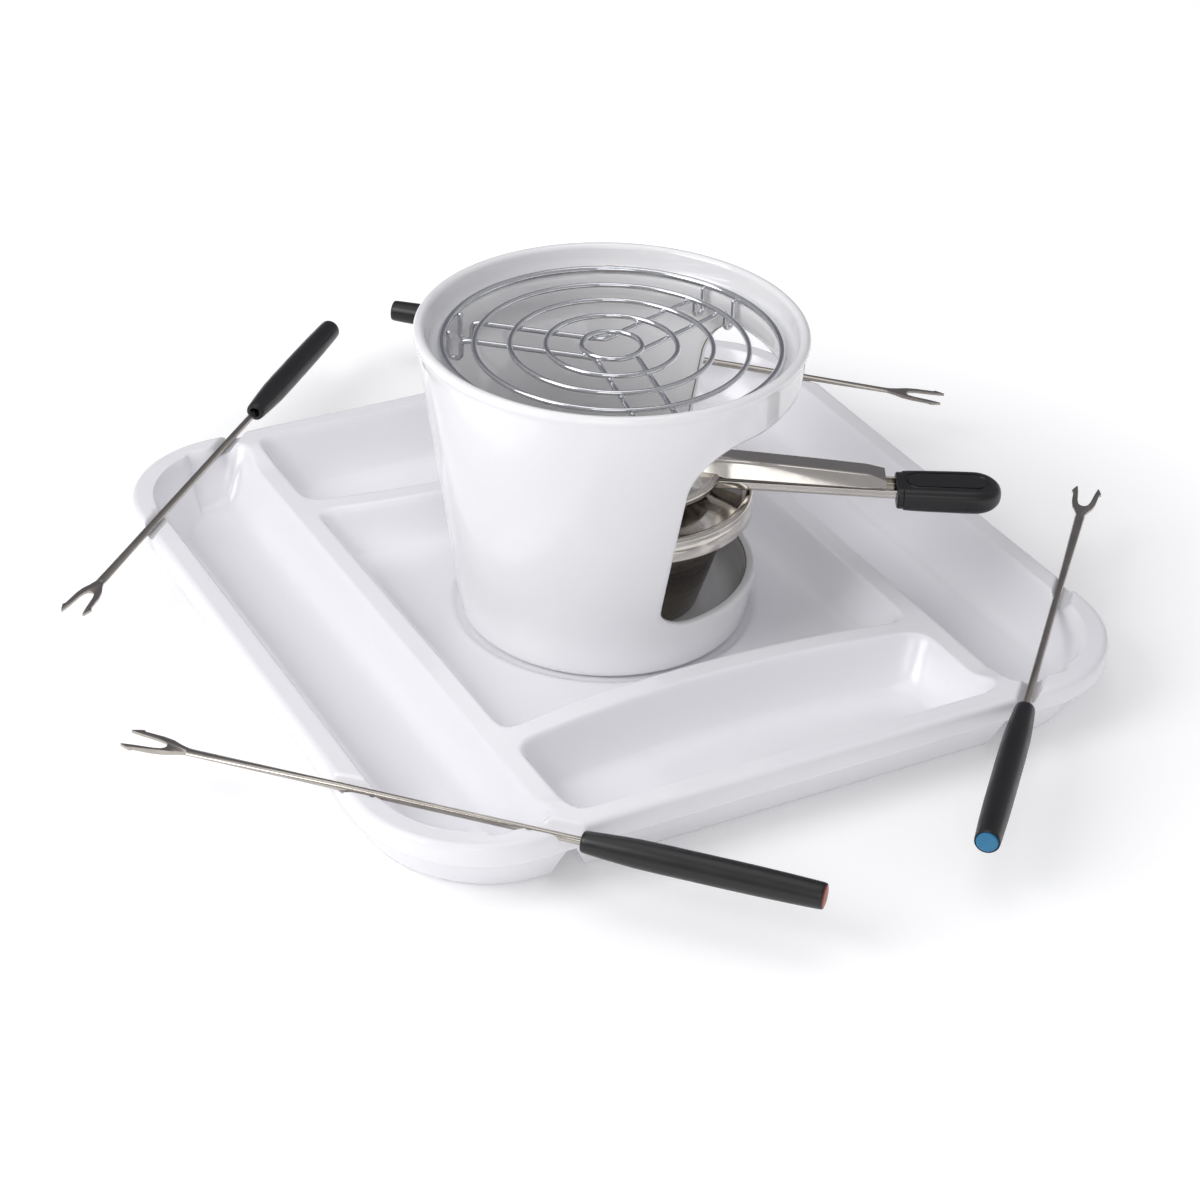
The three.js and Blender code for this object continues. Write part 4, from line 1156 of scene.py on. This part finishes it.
def forkHandle():
    length = fork["handle"]
    profile = [(0, 30.3), (1.7, 30.3), (1.7, 0.4), (2.1, 0), (2.8, 0), (3.35, 0.08), (3.65, 0.5),
               (3.8, 1.5), (4.0, 4), (4.3, 8), (4.6, 13),
               (4.9, 19), (5.0, 28), (5.0, 50), (4.95, 60), (4.8, 70), (4.6, 78), (4.5, 80.6),
               (4.42, 81.6), (4.2, 82.0), (4.15, 81.5), (4.15, 80.7),
               (0, 80.7)]
    ob = spinProfile("forkHandle", profile, 40)
    smoothShade(ob, 45)
    alongX(ob, fork["length"] / 2 - length)
    return ob

def forkCap():
    length = fork["handle"]
    profile = [(0, 81.0), (3.85, 81.0), (3.85, 81.9), (3.6, 82.25), (3.0, 82.4), (1.5, 82.48), (0, 82.5)]
    ob = spinProfile("forkCap", profile, 40)
    smoothShade(ob, 50)
    alongX(ob, fork["length"] / 2 - length)
    return ob

def forkRod():
    start = -fork["length"] / 2 + fork["head"] - 1.0
    end = fork["length"] / 2 - fork["handle"] + 30
    run = end - start
    profile = [(0, 0), (0.9, 0.05), (1.25, 0.4), (1.4, 1.2), (1.4, run * 0.33),
               (1.4, run * 0.66), (1.4, run - 0.3), (1.1, run), (0, run)]
    ob = spinProfile("forkRod", profile, 20)
    smoothShade(ob, 50)
    alongX(ob, start)
    for v in ob.data.vertices:  # the rod's end is pressed flat where it becomes the head
        x = v.co.x / mm - start
        if x < 7:
            t = 1 - smoothStep(x / 7)
            v.co.z *= 1 - 0.55 * t
            v.co.y *= 1 + 0.45 * t
    return ob

def forkHead():
    tip, root = -fork["length"] / 2, -fork["length"] / 2 + fork["head"]
    crotch = tip + fork["crotch"]
    side = [(root + 3, 1.25), (root - 0.5, 1.6), (crotch + 4.5, 2.5), (crotch + 1, 4.0), (crotch - 3, 4.75),
            (tip + 5.2, 5.2),
            (tip + 4.2, 5.95), (tip + 2.0, 5.2), (tip + 0.2, 4.5), (tip, 4.15), (tip + 0.6, 3.95), (tip + 4.6, 3.3),
            (crotch - 4, 2.55), (crotch - 1.4, 1.9), (crotch - 0.35, 1.1)]
    outline = side + [(crotch, 0)] + [(x, -y) for x, y in reversed(side)]
    ob = prism("forkHead", outline, -fork["thick"] / 2, fork["thick"] / 2)
    makeActive(ob)
    bpy.ops.object.mode_set(mode="EDIT")
    bpy.ops.mesh.select_mode(type="EDGE")
    bpy.ops.mesh.select_all(action="SELECT")
    bpy.ops.mesh.bevel(offset=0.22 * mm, segments=2, affect="EDGES", clamp_overlap=True)
    objectMode()
    smoothShade(ob, 35)
    return ob

def makeForks():
    parts = {"handle": forkHandle(), "cap": forkCap(), "rod": forkRod(), "head": forkHead()}
    looks = {"handle": (blackPlastic, "black_plastic"),
             "rod": (forkSteel, "fork_steel"), "head": (forkSteel, "fork_steel")}
    caps = {"left": "cap_grey", "front": "cap_red", "right": "cap_blue", "back": "cap_white"}
    for name in ("left", "front", "right", "back"):
        place = forkPlace(name)
        for part, master in parts.items():
            ob = master.copy()
            ob.data = master.data.copy()
            bpy.context.scene.collection.objects.link(ob)
            placeMesh(ob, place)
            material, slot = looks.get(part, (capColors[name], caps[name]))
            node = "fork_%s_%s" % (name, part)
            finishPiece(ob, "fork%s%s" % (name.title(), part.title()), material, "fork_" + name, slot, node)
    for master in parts.values():
        bpy.data.objects.remove(master)

makeForks()
print("forks made")

# floor, light and camera
def makeStage():
    deselectAll()
    bpy.ops.mesh.primitive_plane_add(size=8, location=(0, 0, -0.0004))
    floor = bpy.context.object
    floor.name = "paleFloor"
    mat, tree, shader = newMaterial("paleMattPaper", "#f7f7f7", 0.9)
    shader.inputs["Emission Color"].default_value = (1, 1, 1, 1)
    # the paper glows, and glows less beside the set: a painted shade round the set, so the tray's flange keeps its
    # shade
    coord = addNode(tree, "ShaderNodeTexCoord")
    away = addNode(tree, "ShaderNodeVectorMath", {"operation": "LENGTH"}, {0: coord.outputs["Object"]})
    # weaker glow near the set is painted shade on the floor round the tray
    glowWithPaintedShade = addNode(tree, "ShaderNodeMapRange", {"From Min": 0.17, "From Max": 0.32, "To Min": 0.14, "To Max": 0.42},
                   {"Value": away.outputs["Value"]})
    tree.links.new(glowWithPaintedShade.outputs[0], shader.inputs["Emission Strength"])
    floor.data.materials.append(mat)
    world = bpy.data.worlds.new("softRoom")
    bpy.context.scene.world = world
    world.use_nodes = True
    tree = world.node_tree
    back = tree.nodes["Background"]
    # a room that darkens behind the set, for the metal and glaze to show their shape
    coord = addNode(tree, "ShaderNodeTexCoord")
    behind = addNode(tree, "ShaderNodeVectorMath", {"operation": "DOT_PRODUCT", 1: (0.48, 0.88, 0.1)},
                     {0: coord.outputs["Generated"]})
    dark = addNode(tree, "ShaderNodeMapRange", {"From Min": 0.6, "From Max": 0.85, "To Min": 0, "To Max": 1},
                   {"Value": behind.outputs["Value"]})
    tint = mixColors(tree, dark.outputs[0], "#fbfbff", "#b0b0b8")
    tree.links.new(tint, back.inputs["Color"])
    back.inputs["Strength"].default_value = 0.46

def addLight(name, at, target, size, power):
    data = bpy.data.lights.new(name, "AREA")
    data.shape = "RECTANGLE"
    data.size, data.size_y = size
    data.energy = power
    lamp = bpy.data.objects.new(name, data)
    bpy.context.scene.collection.objects.link(lamp)
    lamp.location = at
    lamp.rotation_mode = "QUATERNION"
    lamp.rotation_quaternion = (Vector(target) - Vector(at)).to_track_quat("-Z", "Y")

def makeCamera():
    data = bpy.data.cameras.new("viewCamera")
    camera = bpy.data.objects.new("viewCamera", data)
    bpy.context.scene.collection.objects.link(camera)
    right, up = Vector((0.87765, -0.47930, 0)), Vector((0.25470, 0.46638, 0.84712))
    back = Vector((-0.40602, -0.74347, 0.53140))
    roll = math.radians(1.82)
    rolled = right * math.cos(roll) + up * math.sin(roll)
    raised = up * math.cos(roll) - right * math.sin(roll)
    matrix = Matrix((rolled, raised, back)).transposed().to_4x4()
    matrix.translation = (-0.44143, -0.79563, 0.57477)
    camera.matrix_world = matrix
    data.sensor_width = 36
    data.lens = 83.59
    data.shift_x = 0.0108
    data.shift_y = -0.0013
    data.clip_start, data.clip_end = 0.01, 50
    bpy.context.scene.camera = camera

makeStage()
addLight("topSoftbox", (-0.1, 0.2, 1.4), (0, 0, 0.05), (1.1, 1.1), 3.5)
addLight("leftSoftbox", (-1.25, 0.05, 0.95), (0, 0, 0.05), (0.9, 0.9), 10.5)
addLight("frontSoftbox", (-0.75, -1.3, 0.9), (0, 0, 0.05), (0.7, 0.7), 2.5)
makeCamera()
bpy.context.scene.view_settings.view_transform = "Standard"
bpy.context.view_layer.update()
print("stage, light and camera set")
